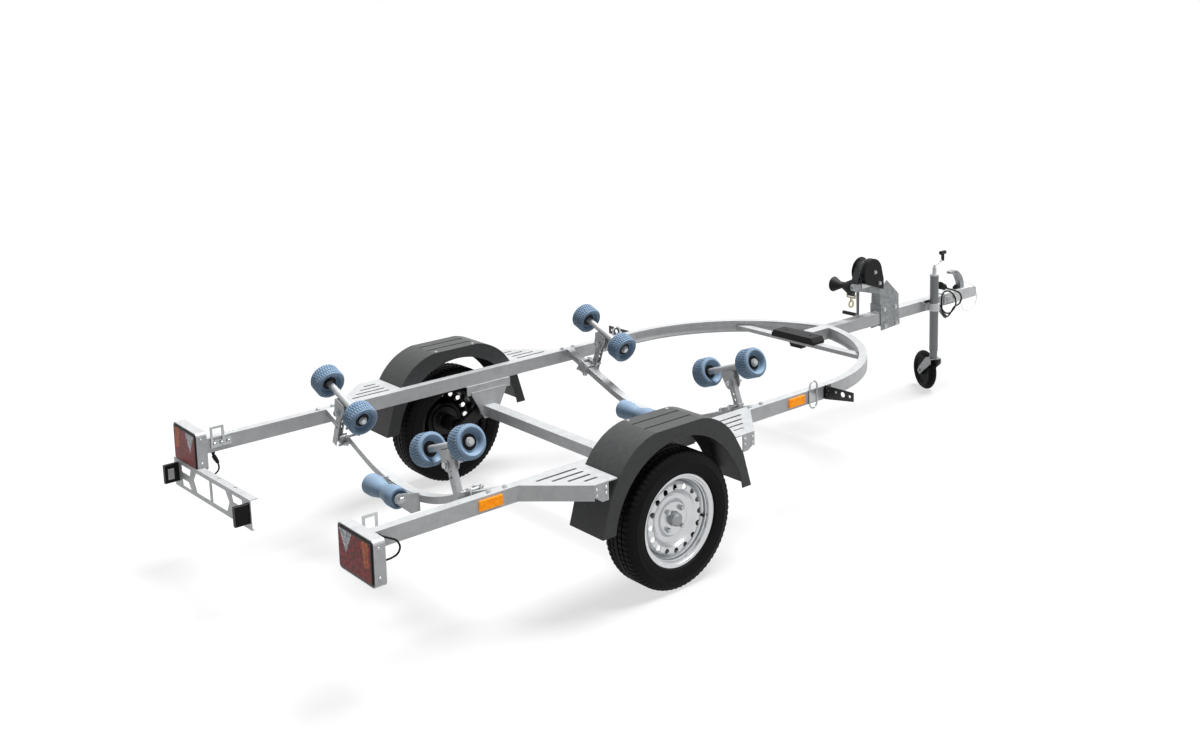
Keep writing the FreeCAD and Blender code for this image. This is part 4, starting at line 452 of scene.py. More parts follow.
# across the tread: half of it, from the shoulder to the middle, as (radius, y, group of cuts)
shoulder = [
    (tread_radius - 0.019, tread_half * 0.93, "edge"),
    (tread_radius - 0.010, tread_half * 0.86, "cut"),
    (tread_radius - 0.003, tread_half * 0.76, "cut"),
    (tread_radius, tread_half * 0.64, "cut"),
]
centre_ribs = []
for groove in (0.0365, 0.0125):
    centre_ribs += [
        (tread_radius, groove + groove_half + 0.001, "cut" if groove > 0.03 else "sipe"),
        (tread_radius - groove_depth, groove + groove_half - 0.001, "groove"),
        (tread_radius - groove_depth, groove - groove_half + 0.001, "groove"),
        (tread_radius, groove - groove_half - 0.001, "sipe" if groove > 0.03 else "rib"),
    ]
half_tread = shoulder + centre_ribs
across = [(r, y, "wall") for r, y in side_wall] + half_tread
across += [(r, -y, kind) for r, y, kind in reversed(across)]
across += [(seat_radius, -bead_half + 0.004, "wall"), (seat_radius, bead_half - 0.004, "wall")]


def tread_cut(kind, line, side):
    """How deep the rubber is cut at one line of a pitch."""
    if kind == "cut" and line % pitch_lines in (2, 3):
        return groove_depth * 0.45
    if kind == "sipe" and (line + 2 * side) % pitch_lines == 1:
        return groove_depth * 0.5
    return 0


tyre_lines = pitches * pitch_lines
tyre_points, tyre_faces = [], []
for i in range(tyre_lines):
    # the two cut lines of a pitch stand close together, so that a cut is narrower than a block
    share = (0, 0.30, 0.62, 0.86)[i % pitch_lines]
    angle = 2 * math.pi * (i // pitch_lines + share) / pitches
    for radius, y, kind in across:
        depth = tread_cut(kind, i, y > 0)
        tyre_points.append(((radius - depth) * math.cos(angle), (radius - depth) * math.sin(angle), y))
rows = len(across)
for i in range(tyre_lines):
    a, b = i * rows, (i + 1) % tyre_lines * rows
    for j in range(rows):
        k = (j + 1) % rows
        tyre_faces.append((a + j, b + j, b + k, a + k))
valve = turned([(0.0045, 0), (0.004, 0.012), (0.003, 0.014), (0.003, 0.024), (0.0015, 0.025)], 12)
valve_place = (0.150, 0.026, -0.030)
valve_turn = (-0.35, 0.1)
wheel_nut = hex_bolt(0.017, 0.012, 0.022)

vent_count = 16
vent_radius = 0.0116
vent_circle = 0.127
bolt_circle = 0.050
bolt_count = 4
disc_wall = 0.0035
# the rim's barrel and flanges, as (radius, y), all the way round its wall
barrel = [
    (flange_radius, -0.0635),
    (flange_radius, -0.0600),
    (seat_radius, -0.0560),
    (seat_radius - 0.002, -0.0340),
    (seat_radius - 0.015, -0.0240),
    (seat_radius - 0.015, 0.0140),
    (seat_radius - 0.002, 0.0280),
    (seat_radius, 0.0560),
    (flange_radius, 0.0600),
    (flange_radius, 0.0635),
    (flange_radius - 0.0035, 0.0635),
    (seat_radius + 0.007, 0.0605),
    (seat_radius + 0.004, 0.0560),
    (seat_radius - 0.001, 0.0535),
    (seat_radius - 0.003, 0.0440),
    (seat_radius - 0.006, 0.0425),
    (seat_radius - 0.006, 0.0300),
    (seat_radius - 0.018, 0.0160),
    (seat_radius - 0.018, -0.0250),
    (seat_radius - 0.005, -0.0350),
    (seat_radius - 0.003, -0.0560),
    (flange_radius - 0.004, -0.0635),
]
# the pressed disc's outer face, from the barrel to the hub, as (radius, y)
disc_face = [
    (seat_radius - 0.0175, 0.0080),
    (0.1430, 0.0250),
    (0.1405, 0.0330),
    (0.1370, 0.0385),
    (0.1320, 0.0405),
    (0.1220, 0.0412),
    (0.1170, 0.0400),
    (0.1120, 0.0360),
    (0.1050, 0.0270),
    (0.0960, 0.0185),
    (0.0860, 0.0145),
    (0.0770, 0.0150),
    (0.0715, 0.0190),
    (0.0675, 0.0270),
    (0.0645, 0.0305),
    (0.0600, 0.0312),
    (0.0290, 0.0312),
]


def disc_y(radius):
    """Height of the disc's outer face at a radius."""
    for (r0, y0), (r1, y1) in zip(disc_face, disc_face[1:]):
        if r1 <= radius <= r0:
            return y0 + (y1 - y0) * (r0 - radius) / (r0 - r1)
    return disc_face[-1][1]


def pressed_disc():
    """Both faces of the disc, its round vents cut out of a ring of cells."""
    around = 6
    inner_edge, outer_edge = 0.1120, 0.1405
    points, faces = [], []

    def skin(depth):
        def spot(radius, angle):
            points.append((radius * math.cos(angle), radius * math.sin(angle), disc_y(radius) - depth))
            return len(points) - 1

        cell = 2 * math.pi / vent_count
        fine = vent_count * around
        for low, high in ((0, 2), (7, len(disc_face) - 1)):
            radii = [r for r, y in disc_face[low:high + 1]]
            for i in range(fine):
                a0, a1 = (i - 0.5 * around) * cell / around, (i + 1 - 0.5 * around) * cell / around
                for r0, r1 in zip(radii, radii[1:]):
                    faces.append((spot(r0, a0), spot(r0, a1), spot(r1, a1), spot(r1, a0)))
        rims = []
        for i in range(vent_count):
            centre = i * cell
            border = []
            for j in range(around):
                border.append((inner_edge, centre - cell / 2 + cell * j / around))
            for j in range(around):
                border.append((inner_edge + (outer_edge - inner_edge) * j / around, centre + cell / 2))
            for j in range(around):
                border.append((outer_edge, centre + cell / 2 - cell * j / around))
            for j in range(around):
                border.append((outer_edge - (outer_edge - inner_edge) * j / around, centre - cell / 2))
            hole = []
            for radius, angle in border:
                along = radius * math.sin(angle - centre)
                out = radius * math.cos(angle - centre) - vent_circle
                stretch = vent_radius / math.hypot(along, out)
                along, out = along * stretch, out * stretch + vent_circle
                hole.append((math.hypot(along, out), centre + math.atan2(along, out)))
            rings = [border, [((a[0] + b[0]) / 2, (a[1] + b[1]) / 2) for a, b in zip(border, hole)], hole]
            rows = [[spot(*place) for place in ring] for ring in rings]
            for first, second in zip(rows, rows[1:]):
                for j in range(len(first)):
                    k = (j + 1) % len(first)
                    faces.append((first[j], first[k], second[k], second[j]))
            rims.append(rows[-1])
        return rims

    for front, back in zip(skin(0), skin(disc_wall)):
        for j in range(len(front)):
            k = (j + 1) % len(front)
            faces.append((front[j], front[k], back[k], back[j]))
    return points, faces


rim_shape = joined([turned(barrel, 96, closed=True), pressed_disc()])

for side, name in ((1, "left"), (-1, "right")):
    body = name + "_wheel"
    middle = (axle_x, side * wheel_y, wheel_z)
    out = (0, side, 0)
    tyre_shape = placed((tyre_points, tyre_faces), middle, out)
    tyre = piece("treaded_tyre_" + name, tyre_shape, tyre_rubber, body)
    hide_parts("tyre_" + name)
    rim = piece("pressed_rim_" + name, placed(rim_shape, middle, out), silver_lacquer_and_painted_shade, body)
    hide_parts("wheel_rim_" + name)
    dress(hub_coating, "wheel_hub_" + name)
    nuts = []
    for i in range(bolt_count):
        angle = 2 * math.pi * (i + 0.5) / bolt_count
        x = axle_x + bolt_circle * math.cos(angle)
        z = wheel_z + bolt_circle * math.sin(angle)
        nuts.append(placed(wheel_nut, (x, side * (wheel_y + disc_face[-1][1] + 0.0002), z), out))
    piece("wheel_nuts_" + name, joined(nuts), plated_zinc, body)
    valve_foot = (axle_x + valve_place[0], side * (wheel_y + valve_place[1]), wheel_z + valve_place[2])
    stem = placed(valve, valve_foot, (valve_turn[0], side, valve_turn[1]))
    piece("valve_" + name, stem, black_polyamide, body)


# ---- trailing arms -------------------------------------------------------------------------
# Forged arms between the axle beam's rubber springs and the hubs, dipped in black paint, which
# flows out to a smooth half gloss.
arm_paint = grained("black_arm_paint", "#0f0f10", "#19191a", 0.004, 0.45, Specular_IOR_Level=0.3)
dress(arm_paint, "swing_arms")


# ---- mudguards -----------------------------------------------------------------------------
# Vacuum-formed polyethylene, charcoal and finely grained, which spreads the light to a soft
# sheen. Two low-headed bolts come through the top of each into its bracket.
guard_plastic = grained(
    "formed_charcoal_polyethylene", "#3f4041", "#484949", 0.0016, 0.42, 0.00008, Specular_IOR_Level=0.25
)
dress(guard_plastic, "mudguard_left", "mudguard_right")
guard_spots = [((x, 0.672, 0.658), (0, 0, 1)) for x in (-1.010, -0.807)]
piece(
    "guard_bolts",
    joined([placed(domed_bolt(0.008), *spot) for spot in both_sides(guard_spots)]),
    plated_zinc,
    "frame",
)


# ---- hull rollers --------------------------------------------------------------------------
# Moulded blue-grey rubber on a hard black hub, 130 mm across, with three rows of short ribs. Two
# turn on each rocker's steel shaft, with a nut and washer in each outer recess.
roller_rubber = grained(
    "moulded_blue_grey_rubber", "#7d97b1", "#8ca4bc", 0.005, 0.5, 0.0001, Specular_IOR_Level=0.3
)
roller_radius = 0.065
roller_half = 0.0375
recess_radius = 0.047
recess_depth = 0.020
shaft_radius = 0.0103
rib_depth = 0.0034
rib_pitches = 36
rib_lines = 6
rib_rows = ((-0.0275, -0.0100), (-0.0085, 0.0085), (0.0100, 0.0275))
roller_tilt = math.radians(20)
roller_reach = 0.1405


def ribbed_roller():
    """A roller about Z, recessed at both ends, its ribs staggered from row to row."""
    ends = [
        (shaft_radius, recess_depth - roller_half),
        (recess_radius - 0.009, recess_depth - roller_half),
        (recess_radius - 0.004, 0.006 - roller_half),
        (recess_radius, 0.002 - roller_half),
        (recess_radius + 0.004, -roller_half),
        (roller_radius - 0.014, -roller_half),
        (roller_radius - 0.008, 0.0015 - roller_half),
        (roller_radius - 0.004, 0.004 - roller_half),
        (roller_radius - rib_depth, 0.0085 - roller_half),
    ]
    profile = [(radius, height, None) for radius, height in ends]
    for row, (low, high) in enumerate(rib_rows):
        profile.append((roller_radius - 0.0003, low, row))
        profile.append((roller_radius - 0.0003, high, row))
        if row < len(rib_rows) - 1:
            profile.append((roller_radius - rib_depth, high + 0.0005, None))
            profile.append((roller_radius - rib_depth, rib_rows[row + 1][0] - 0.0005, None))
    profile += [(radius, -height, None) for radius, height in reversed(ends)]
    points, faces = [], []
    rows = len(profile)
    steps = rib_pitches * rib_lines
    for i in range(steps):
        angle = 2 * math.pi * i / steps
        for radius, height, row in profile:
            if row is not None and (i + 3 * (row % 2)) % rib_lines >= 4:
                radius -= rib_depth
            points.append((radius * math.cos(angle), radius * math.sin(angle), height))
    for i in range(steps):
        a, b = i * rows, (i + 1) % steps * rows
        for j in range(rows):
            k = (j + 1) % rows
            faces.append((a + j, b + j, b + k, a + k))
    return points, faces


roller = ribbed_roller()
shaft_nut = hex_bolt(0.024, 0.012, 0.034)
hub_ring = [(0.0125, -0.0005), (0.0300, -0.0005), (0.0300, 0.0006), (0.0125, 0.0006)]
recess_hub = turned(hub_ring, 32, closed=True)
outer_floor = roller_reach + roller_half - recess_depth
inner_floor = roller_reach - roller_half + recess_depth
for end in ("rear", "front"):
    for name, side in (("left", 1), ("right", -1)):
        place = end + "_" + name
        low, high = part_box("roller_pair_" + place)
        shaft = Vector((0, side * math.cos(roller_tilt), math.sin(roller_tilt)))
        middle = (low + high) / 2
        pair, nuts, hubs = [], [], []
        for way in (-1, 1):
            pair.append(placed(roller, middle + shaft * way * roller_reach, shaft))
            nuts.append(placed(shaft_nut, middle + shaft * way * (outer_floor + 0.0014), shaft * way))
            for reach in (outer_floor, inner_floor):
                hubs.append(placed(recess_hub, middle + shaft * way * reach, shaft))
        body = place + "_rollers"
        rollers = piece("ribbed_rollers_" + place, joined(pair), roller_rubber, body)
        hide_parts("roller_pair_" + place)
        piece("roller_hubs_" + place, joined(hubs), black_polyamide, body)
        piece("shaft_nuts_" + place, joined(nuts), plated_zinc, place + "_rocker")
        dress(frame_zinc, "rocker_" + place)


# ---- roller posts --------------------------------------------------------------------------
# Channel posts clamped to the crossmembers with four M10 bolts each; a long M16 pin at the top
# carries the rocker, with its nut in front.
def mirrored(shape):
    """A shape on the other side of the trailer."""
    return [Vector((point[0], -point[1], point[2])) for point in shape[0]], shape[1]


# for each crossmember: the pin's rear end, the pin's (y, z), the bolts' (y, z), and the x of the
# two faces that the bolts lie on
stations = (
    (
        -1.6703,
        (0.409, 0.582),
        ((0.4255, 0.4694), (0.4405, 0.4301), (0.4721, 0.4873), (0.4872, 0.4481)),
        (-1.6175, -1.5615),
    ),
    (
        -0.2283,
        (0.445, 0.583),
        ((0.4572, 0.4815), (0.4722, 0.4423), (0.5039, 0.4994), (0.5189, 0.4602)),
        (-0.2335, -0.2895),
    ),
)
m16 = hex_bolt(0.024, 0.011, 0.032)
pin_head = 0.003
pin_nut = 0.043
post_bolts = []
for pin_end, pivot, spots, faces in stations:
    post_bolts.append(placed(m16, (pin_end + pin_head, *pivot), (-1, 0, 0)))
    post_bolts.append(placed(m16, (pin_end + pin_nut, *pivot), (1, 0, 0)))
    for y, z in spots:
        for x in faces:
            away = 1 if x == max(faces) else -1
            post_bolts.append(placed(m10, (x, y, z), (away, 0, 0)))
post_bolts += [mirrored(bolt) for bolt in post_bolts]
piece("post_bolts", joined(post_bolts), plated_zinc, "frame")


# ---- keel rollers --------------------------------------------------------------------------
# Blue-grey rubber halves with a waist between them, turned smooth with fine rings, on a pin
# through the folded bracket behind each crossmember.
ring_rubber = grained("turned_blue_grey_rubber", "#7f98b1", "#8ea5bc", 0.007, 0.46, Specular_IOR_Level=0.3)
keel_half = 0.1075
keel_pin = 0.0103
keel_radius = 0.043
keel_waist = 0.031
keel_recess = 0.012
ring_pitch = 0.0042
keel_profile = [
    (keel_pin, keel_recess - keel_half),
    (keel_radius - 0.014, keel_recess - keel_half),
    (keel_radius - 0.010, -keel_half),
    (keel_radius - 0.004, -keel_half),
    (keel_radius - 0.001, 0.002 - keel_half),
]
ring_count = 22
for i in range(ring_count):
    share = i / (ring_count - 1)
    height = 0.005 - keel_half + share * (keel_half - 0.012)
    fall = max(0.0, share - 0.4) / 0.6
    radius = keel_radius - (keel_radius - keel_waist) * fall
    keel_profile.append((radius, height))
    keel_profile.append((radius - 0.0006, height + ring_pitch * 0.35))
keel_profile.append((keel_waist - 0.005, -0.002))
keel_profile += [(radius, -height) for radius, height in reversed(keel_profile)]
keel_shape = turned(keel_profile, 64, closed=True)
keel_nut = hex_bolt(0.024, 0.012, 0.034)
keel_z = 0.371
keel_behind = 0.086
bracket_half = keel_half + 0.011
for end, cross_x in (("rear", -1.6095), ("front", -0.2815)):
    keel_x = cross_x - keel_behind
    keel_place = placed(keel_shape, (keel_x, 0, keel_z), (0, 1, 0))
    keel = piece("ringed_keel_roller_" + end, keel_place, ring_rubber, end + "_keel_roller")
    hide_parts("keel_roller_" + end)
    nuts = [placed(keel_nut, (keel_x, way * bracket_half, keel_z), (0, way, 0)) for way in (-1, 1)]
    piece("keel_nuts_" + end, joined(nuts), plated_zinc, "frame")


# ---- keel pad and bumper -------------------------------------------------------------------
# Extruded black rubber pad on the bow bar, held by two sunk bolts, with a small bumper block under
# it. The rubber is dull, with a faint bloom in patches.
pad_rubber = grained(
    "extruded_black_rubber", "#121213", "#1e1e20", 0.004, 0.58, 0.0002, Specular_IOR_Level=0.25
)
dress(pad_rubber, "keel_pad", "pad_bumper")


# ---- rear lamps ----------------------------------------------------------------------------
# Five-function lamps: a black base with a moulded acrylic lens, amber at the outside, a clear
# triangle at the inside and red elsewhere, and small prisms all over to spread the light. Each
# is held in its galvanised box by screws from the sides.
def lens_with_painted_glow(name, colour, glow, painted_glow, cell=0.012):
    """Clear coloured acrylic in uneven cells, with a painted glow that stands in for the light its reflector
    sends back.
    """
    material, tree, shader, place = new_finish(
        name, Roughness=0.3, Emission_Strength=painted_glow, Specular_IOR_Level=0.2
    )
    cells = add(tree, "TexVoronoi", {"Vector": place, "Scale": 1 / cell})
    share = add(tree, "MapRange", {"Value": cells.outputs["Distance"], "From Min": 0.1, "From Max": 0.7})
    tone = add(tree, "Mix", {0: share.outputs[0], 6: linear(glow), 7: linear(colour)}, data_type="RGBA")
    tree.links.new(tone.outputs[2], shader.inputs["Base Color"])
    # painted glow: the lens gives off light in these colours, though no lamp is lit
    tree.links.new(tone.outputs[2], shader.inputs["Emission Color"])
    return material


# each lens carries a faint painted glow
red_acrylic = lens_with_painted_glow("red_acrylic_lens", "#5a1012", "#a82a26", 0.16)
amber_acrylic = lens_with_painted_glow("amber_acrylic_lens", "#9c4216", "#cf6c30", 0.17)
clear_acrylic = lens_with_painted_glow("clear_acrylic_lens", "#8d9097", "#dcdfe4", 0.2)
# moulded rubber seal round the lens: black, slightly shiny
gasket_rubber = grained("lamp_gasket_rubber", "#0c0c0d", "#171718", 0.003, 0.5)
dress(gasket_rubber, "rear_lamps")

lamp_face = -2.2095
lamp_low = (0.5905, 0.4315)
lamp_high = (0.7955, 0.5645)
# twice as coarse as the real ones, so that they show
prism = 0.0042
prism_height = 0.0009


def prism_sheet(outline_test, columns, rows):
    """Grid of small pyramids over the part of the lens that a test picks out."""
    points, faces = [], []
    wide = (lamp_high[0] - lamp_low[0]) / columns
    tall = (lamp_high[1] - lamp_low[1]) / rows
    for i in range(columns):
        for j in range(rows):
            y = lamp_low[0] + i * wide
            z = lamp_low[1] + j * tall
            if not outline_test((i + 0.5) / columns, (j + 0.5) / rows):
                continue
            start = len(points)
            points += [
                (lamp_face - 0.0004, y, z),
                (lamp_face - 0.0004, y + wide, z),
                (lamp_face - 0.0004, y + wide, z + tall),
                (lamp_face - 0.0004, y, z + tall),
                (lamp_face - 0.0004 - prism_height, y + wide / 2, z + tall / 2),
            ]
            faces += [(start + a, start + (a + 1) % 4, start + 4) for a in range(4)]
    return points, faces


def clear_part(u, v):
    """Triangle at the top inside, point down."""
    return v > 0.42 and abs(u - 0.22) < (v - 0.42) * 0.36


def amber_part(u, v):
    """Band at the top outside, narrower below."""
    return v > 0.36 and u > 0.72 + (1 - v) * 0.10 and u < 0.93


def red_part(u, v):
    """The rest of the lens."""
    return not clear_part(u, v) and not amber_part(u, v)


columns = int((lamp_high[0] - lamp_low[0]) / prism)
prism_rows = int((lamp_high[1] - lamp_low[1]) / prism)
for name, side in (("left", 1), ("right", -1)):
    for part, finish, test in (
        ("red", red_acrylic, red_part),
        ("amber", amber_acrylic, amber_part),
        ("clear", clear_acrylic, clear_part),
    ):
        points, faces = prism_sheet(test, columns, prism_rows)
        points = [(x, side * y, z) for x, y, z in points]
        piece("lamp_" + part + "_" + name, (points, faces), finish, "frame")
screw_x = -2.186
lamp_spots = []
for z in (0.452, 0.551):
    lamp_spots.append(((screw_x, 0.809, z), (0, 1, 0)))
    lamp_spots.append(((screw_x, 0.577, z), (0, -1, 0)))
piece(
    "lamp_box_screws",
    joined([placed(domed_bolt(0.0055), *spot) for spot in both_sides(lamp_spots)]),
    plated_zinc,
    "frame",
)


# ---- number plate holder and its lamps -----------------------------------------------------
# Pressed truss bar in zinc, with slim black plate lamps whose clear windows face the plate, and
# the lamp leads in black sleeving.
dress(black_polyamide, "plate_lamps")
dress(sheath_rubber, "lamp_leads")
# moulded polycarbonate over the bulb: pale grey, with a wet gloss
window_plastic = grained("clear_lamp_window", "#b9bbbd", "#dcdddd", 0.004, 0.25, Coat_Weight=0.5)
window_low = (-2.2595, 0.7585, 0.352)
window_high = (-2.2345, 0.7605, 0.398)


def slab(low, high, edge=0.0008):
    """Block between two corners with its long edges broken."""
    (x0, y0, z0), (x1, y1, z1) = low, high
    points, faces = [], []
    for z, inset in ((z0, edge), (z0 + edge, 0), (z1 - edge, 0), (z1, edge)):
        points += [
            (x0 + inset, y0 + inset, z),
            (x1 - inset, y0 + inset, z),
            (x1 - inset, y1 - inset, z),
            (x0 + inset, y1 - inset, z),
        ]
    for ring in range(3):
        for i in range(4):
            a, b = 4 * ring + i, 4 * ring + (i + 1) % 4
            faces.append((a, b, b + 4, a + 4))
    faces += [(0, 1, 2, 3), (12, 13, 14, 15)]
    return points, faces


piece("plate_lamp_window", slab(window_low, window_high), window_plastic, "frame")


# ---- tie-downs, reflectors and marker brackets ---------------------------------------------
# Bent zinc-plated rod staples at the rear and rings at the front, prismatic amber reflectors in
# the rails' sides, and drilled black-painted brackets for the side marker lamps.
dress(plated_zinc, "tie_downs")
# stoved lacquer on steel: black, with a half gloss
black_lacquer = grained("semi_gloss_black_lacquer", "#0e0e0f", "#1a1a1b", 0.004, 0.34, 0.0001)
dress(black_lacquer, "marker_brackets")
# reflex acrylic, with a strong painted glow that stands in for the light it sends back
amber_prisms = lens_with_painted_glow("amber_reflector_acrylic", "#f08806", "#ffa410", 0.5)
dress(amber_prisms, "side_reflectors")
staple_rear = -2.1315
staple_length = 0.088
staple_face = rail_in - 0.010
staple_spots = []
for i in range(3):
    x = staple_rear + staple_length * (i + 0.5) / 3
    staple_spots.append(((x, staple_face, 0.509), (0, -1, 0)))
piece(
    "staple_bolts",
    joined([placed(domed_bolt(0.0075), *spot) for spot in both_sides(staple_spots)]),
    plated_zinc,
    "frame",
)


# ---- lead boots and rail clip --------------------------------------------------------------
# Moulded black sleeves over the lamp leads, a ribbed one at the right lamp and a joint below the
# left rail, and a folded zinc clip over the left rail's outer edge.
clip_x = -2.028
clip_half = 0.0285
clip_side = slab((clip_x - clip_half, 0.6565, 0.4950), (clip_x + clip_half, 0.6585, 0.5140))
clip_top = slab((clip_x - clip_half, 0.6480, 0.5352), (clip_x + clip_half, 0.6585, 0.5372))
piece("rail_clip", joined([clip_side, clip_top]), plated_zinc, "frame")
ribbed_boot = turned([
    (0.0115, 0),
    (0.0115, 0.004),
    (0.0100, 0.006),
    (0.0115, 0.010),
    (0.0095, 0.013),
    (0.0105, 0.017),
    (0.0075, 0.021),
    (0.0045, 0.030),
], 20)
sleeve = turned([
    (0.0060, 0),
    (0.0088, 0.002),
    (0.0092, 0.020),
    (0.0080, 0.024),
    (0.0080, 0.034),
    (0.0050, 0.040),
], 20)
boots = [
    placed(ribbed_boot, (-2.1613, -0.688, 0.446), (1, 0, 0)),
    placed(sleeve, (-2.1180, rail_in + 0.012, 0.4560), (0.45, 0, -0.89)),
]
piece("lead_boot", joined(boots), black_polyamide, "frame")


# ---- winch ---------------------------------------------------------------------------------
# Hand winch on its column: pressed frame, black gear cover with a zinc rim, a drum of grey
# webbing with a snap hook, and a crank that hangs down. Two clamp plates and four M12 bolts hold
# the column to the drawbar; their zinc has coarse, dark spangle from a slow dip.
column_zinc = galvanised("coarse_spangled_zinc", "#868a8d", "#b4b7b9", 0.011, 0.6, 0.42, 0.35)
dress(column_zinc, "winch_post")
dress(plated_zinc, "winch_frame")


def winch_grip(tree, axes):
    """The moulded grip, which starts beyond the crank's arm."""
    beyond = add(tree, "Math", {0: axes[1], 1: 0.074}, operation="GREATER_THAN")
    below = add(tree, "Math", {0: axes[2], 1: 0.560}, operation="LESS_THAN")
    return add(tree, "Math", {0: beyond.outputs[0], 1: below.outputs[0]}, operation="MULTIPLY").outputs[0]


dress(two_tone("crank_zinc_and_grip", "#8c8f92", "#0d0d0e", winch_grip, 0.42, 0.5), "winch_crank")
dress(black_polyamide, "winch_cover")
dress(pad_rubber, "bow_roller")
# zinc with a yellow chromate: pale straw, bright
hook_zinc = grained("passivated_yellow_zinc", "#a89f78", "#cfc8a4", 0.008, 0.32, metallic=0.8)
dress(hook_zinc, "snap_hook")


def woven(name, dark, light, thread):
    """Plain-weave webbing; the threads are drawn coarser than they are so that they show."""
    material, tree, shader, place = new_finish(name, 0.0, Roughness=0.82, Sheen_Weight=0.25)
    warp = add(tree, "TexWave", {"Vector": place, "Scale": 1 / thread}, bands_direction="Y")
    weft = add(tree, "TexWave", {"Vector": place, "Scale": 1 / thread}, bands_direction="Z")
    crossed = add(tree, "Math", {0: warp.outputs["Fac"], 1: weft.outputs["Fac"]}, operation="MULTIPLY")
    tone = add(tree, "Mix", {0: crossed.outputs[0], 6: linear(dark), 7: linear(light)}, data_type="RGBA")
    bump = add(tree, "Bump", {"Height": crossed.outputs[0], "Distance": 0.0004, "Strength": 0.7})
    tree.links.new(tone.outputs[2], shader.inputs["Base Color"])
    tree.links.new(bump.outputs[0], shader.inputs["Normal"])
    return material


grey_webbing = woven("woven_grey_webbing", "#2e3032", "#4b4e51", 0.012)
dress(grey_webbing, "winch_strap")
# stoved lacquer on the pressed drum: black, worn a little grey
drum_lacquer = grained("black_drum_lacquer", "#121213", "#222223", 0.005, 0.38)
dress(drum_lacquer, "winch_drum")
winch_x = 1.2685
winch_z = 0.779
cover_y = -0.059
post_clamp_y = 0.036
clamp_bolts = ((1.3905, 0.552), (1.4855, 0.552), (1.3995, 0.458), (1.4975, 0.458))
winch_nuts = []
for x, z in clamp_bolts:
    for side in (-1, 1):
        winch_nuts.append(placed(m12, (x, side * post_clamp_y, z), (0, side, 0)))
winch_nuts.append(placed(m12, (winch_x - 0.184, -post_clamp_y, winch_z - 0.049), (0, -1, 0)))
for ahead, down in ((0.014, 0), (0.053, 0.066)):
    winch_nuts.append(placed(m10, (winch_x + ahead, cover_y, winch_z - down), (0, -1, 0)))
piece("winch_post_nuts", joined(winch_nuts), plated_zinc, "frame")


def arc_band(inner, outer, y0, y1, first, last, steps=28):
    """Flat band on an arc about the drum's axis, between two angles in degrees."""
    points, faces = [], []
    for i in range(steps + 1):
        angle = math.radians(first + (last - first) * i / steps)
        for radius, y in ((inner, y0), (outer, y0), (outer, y1), (inner, y1)):
            points.append((winch_x + radius * math.cos(angle), y, winch_z + radius * math.sin(angle)))
    for i in range(steps):
        for j in range(4):
            a, b = 4 * i, 4 * i + 4
            faces.append((a + j, b + j, b + (j + 1) % 4, a + (j + 1) % 4))
    faces += [(0, 1, 2, 3), tuple(4 * steps + j for j in range(4))]
    return points, faces


# bare zinc on the pressed edges: mid grey, brighter than the lacquer beside it
rim_zinc = grained("pressed_rim_zinc", "#76797c", "#8d9092", 0.004, 0.4, metallic=0.4)
rims = [arc_band(0.0665, 0.0735, -0.0355, -0.0345, 55, 215)]
rims += [arc_band(0.0731, 0.0736, y - 0.0008, y + 0.0008, 0, 359) for y in (-0.0275, 0.0275)]
piece("winch_rims", joined(rims), rim_zinc, "frame")


# ---- jockey wheel --------------------------------------------------------------------------
# Drawn steel tube and stem, zinc plated to a darker grey than the frame, in a clamp on the
# drawbar's side. A spangled fork holds a solid rubber tyre, and the crank has a black T grip.
def jockey_cap(tree, axes):
    """The tube's bright cap and neck."""
    return add(tree, "Math", {0: axes[2], 1: 0.6785}, operation="GREATER_THAN").outputs[0]


def jockey_grip(tree, axes):
    """The T grip on the crank's end."""
    stem = add(tree, "Math", {0: axes[0], 1: 1.8675}, operation="GREATER_THAN")
    bar = add(tree, "Math", {0: axes[2], 1: 0.7660}, operation="GREATER_THAN")
    return add(tree, "Math", {0: stem.outputs[0], 1: bar.outputs[0]}, operation="MAXIMUM").outputs[0]


tube_zinc = two_tone("drawn_tube_zinc", "#808386", "#d2d4d5", jockey_cap, 0.4, 0.35)
dress(tube_zinc, "jockey_tube", "jockey_stem")
dress(two_tone("jockey_crank_zinc", "#c4c6c8", "#0d0d0e", jockey_grip, 0.38, 0.5), "jockey_crank")
dress(column_zinc, "jockey_fork")


def clamp_wing(tree, axes):
    """The cast wing of the clamp's screw, ahead of its band."""
    return add(tree, "Math", {0: axes[0], 1: jockey_x + 0.035}, operation="GREATER_THAN").outputs[0]


dress(two_tone("clamp_zinc_and_wing", "#e6e8ea", "#6c6f72", clamp_wing, 0.4, 0.25), "jockey_clamp")
dress(tyre_rubber, "jockey_wheel")


# ---- coupling ------------------------------------------------------------------------------
# Cast coupling head, shot blasted and plated to a pale even zinc, bolted across the drawbar's nose
# with two M12 bolts. Its pressed locking handle rests against a black moulded latch.
coupling_zinc = grained(
    "blasted_and_plated_casting", "#d2d4d5", "#e2e3e4", 0.003, 0.42, 0.0002, metallic=0.3
)
dress(coupling_zinc, "coupling")
dress(column_zinc, "coupling_handle")
coupling_nuts = []
for x in (1.976, 2.036):
    for side in (-1, 1):
        coupling_nuts.append(placed(m12, (x, side * 0.036, 0.512), (0, side, 0)))
piece("coupling_nuts", joined(coupling_nuts), plated_zinc, "frame")
latch_block = slab((2.090, -0.011, 0.5435), (2.116, 0.011, 0.5580))
latch_thumb = slab((2.096, -0.006, 0.5580), (2.110, 0.006, 0.5660))
piece("handle_latch", joined([latch_block, latch_thumb]), black_polyamide, "frame")


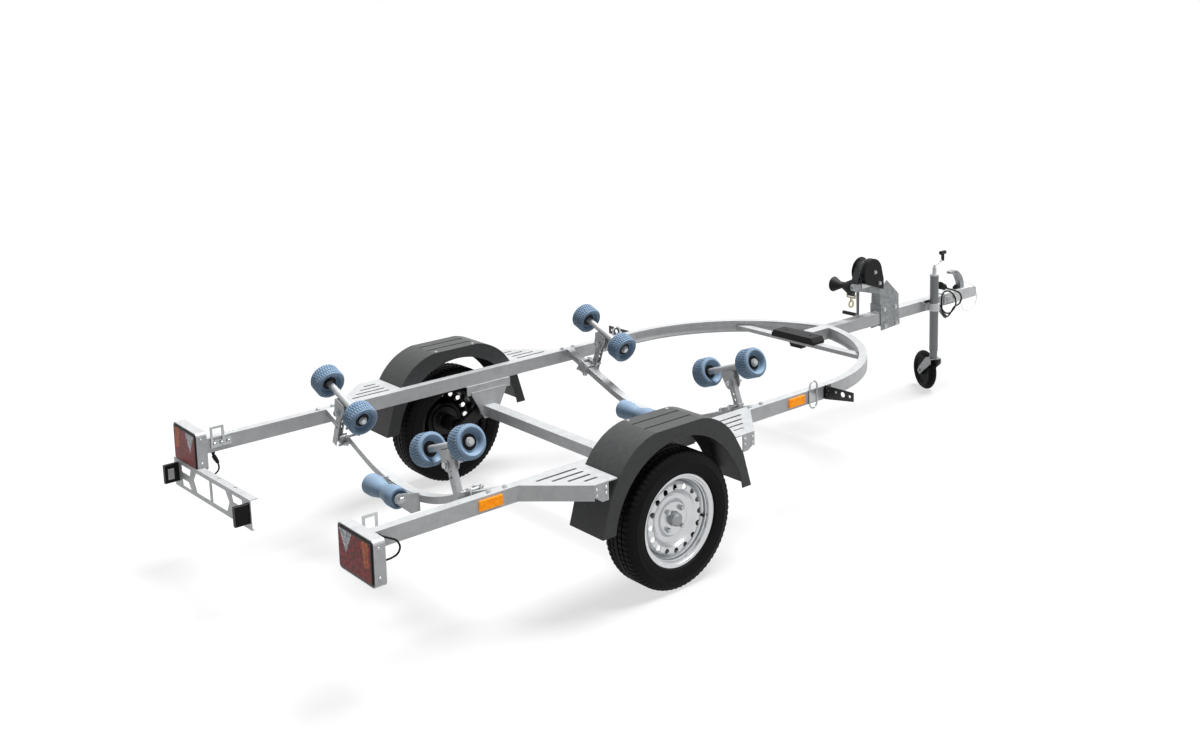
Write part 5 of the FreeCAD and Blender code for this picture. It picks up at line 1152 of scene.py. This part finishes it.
# ---- floor, backdrop and light -------------------------------------------------------------
# A white studio floor that keeps the soft shadows, white all round, and one large soft lamp
# nearly overhead, a little to the front and the right.
def background_rays(tree):
    """1 for a ray from the camera, a reflection or clear plastic, and 0 for one that lights."""
    rays = add(tree, "LightPath").outputs
    direct = add(
        tree, "Math", {0: rays["Is Camera Ray"], 1: rays["Is Glossy Ray"]}, operation="ADD", use_clamp=True
    )
    through = {0: direct.outputs[0], 1: rays["Is Transmission Ray"]}
    return add(tree, "Math", through, operation="ADD", use_clamp=True).outputs[0]


floor_half = 200.0
corners = ((-1, -1), (1, -1), (1, 1), (-1, 1))
floor_mesh = bpy.data.meshes.new("floor")
floor_mesh.from_pydata([(x * floor_half, y * floor_half, 0) for x, y in corners], [], [(0, 1, 2, 3)])
floor = bpy.data.objects.new("floor", floor_mesh)
bpy.context.scene.collection.objects.link(floor)
floor_lift = 0.67
floor_paint, floor_tree, floor_shader, _ = new_finish("matt_white_floor", Roughness=0.9)
floor_shader.inputs["Base Color"].default_value = linear("#8a8a8a")
floor_shader.inputs["Specular IOR Level"].default_value = 0.0
floor_shader.inputs["Emission Color"].default_value = (1, 1, 1, 1)
lift = add(floor_tree, "Math", {0: background_rays(floor_tree), 1: floor_lift}, operation="MULTIPLY")
floor_tree.links.new(lift.outputs[0], floor_shader.inputs["Emission Strength"])
floor_mesh.materials.append(floor_paint)

world = bpy.data.worlds.new("studio")
bpy.context.scene.world = world
world.use_nodes = True
sky_tree = world.node_tree
sky = sky_tree.nodes["Background"]
sky_light = 0.13
strength = add(sky_tree, "MapRange", {"Value": background_rays(sky_tree), "To Min": sky_light, "To Max": 1.0})
sky.inputs["Color"].default_value = (1, 1, 1, 1)
sky_tree.links.new(strength.outputs[0], sky.inputs["Strength"])

lamp = bpy.data.lights.new("softbox", "SUN")
lamp.energy = 5.0
lamp.angle = math.radians(30)
softbox = bpy.data.objects.new("softbox", lamp)
bpy.context.scene.collection.objects.link(softbox)
softbox.matrix_world = Vector((0.30, -0.08, 1.0)).to_track_quat("Z", "Y").to_matrix().to_4x4()

bpy.context.scene.view_settings.view_transform = "Standard"
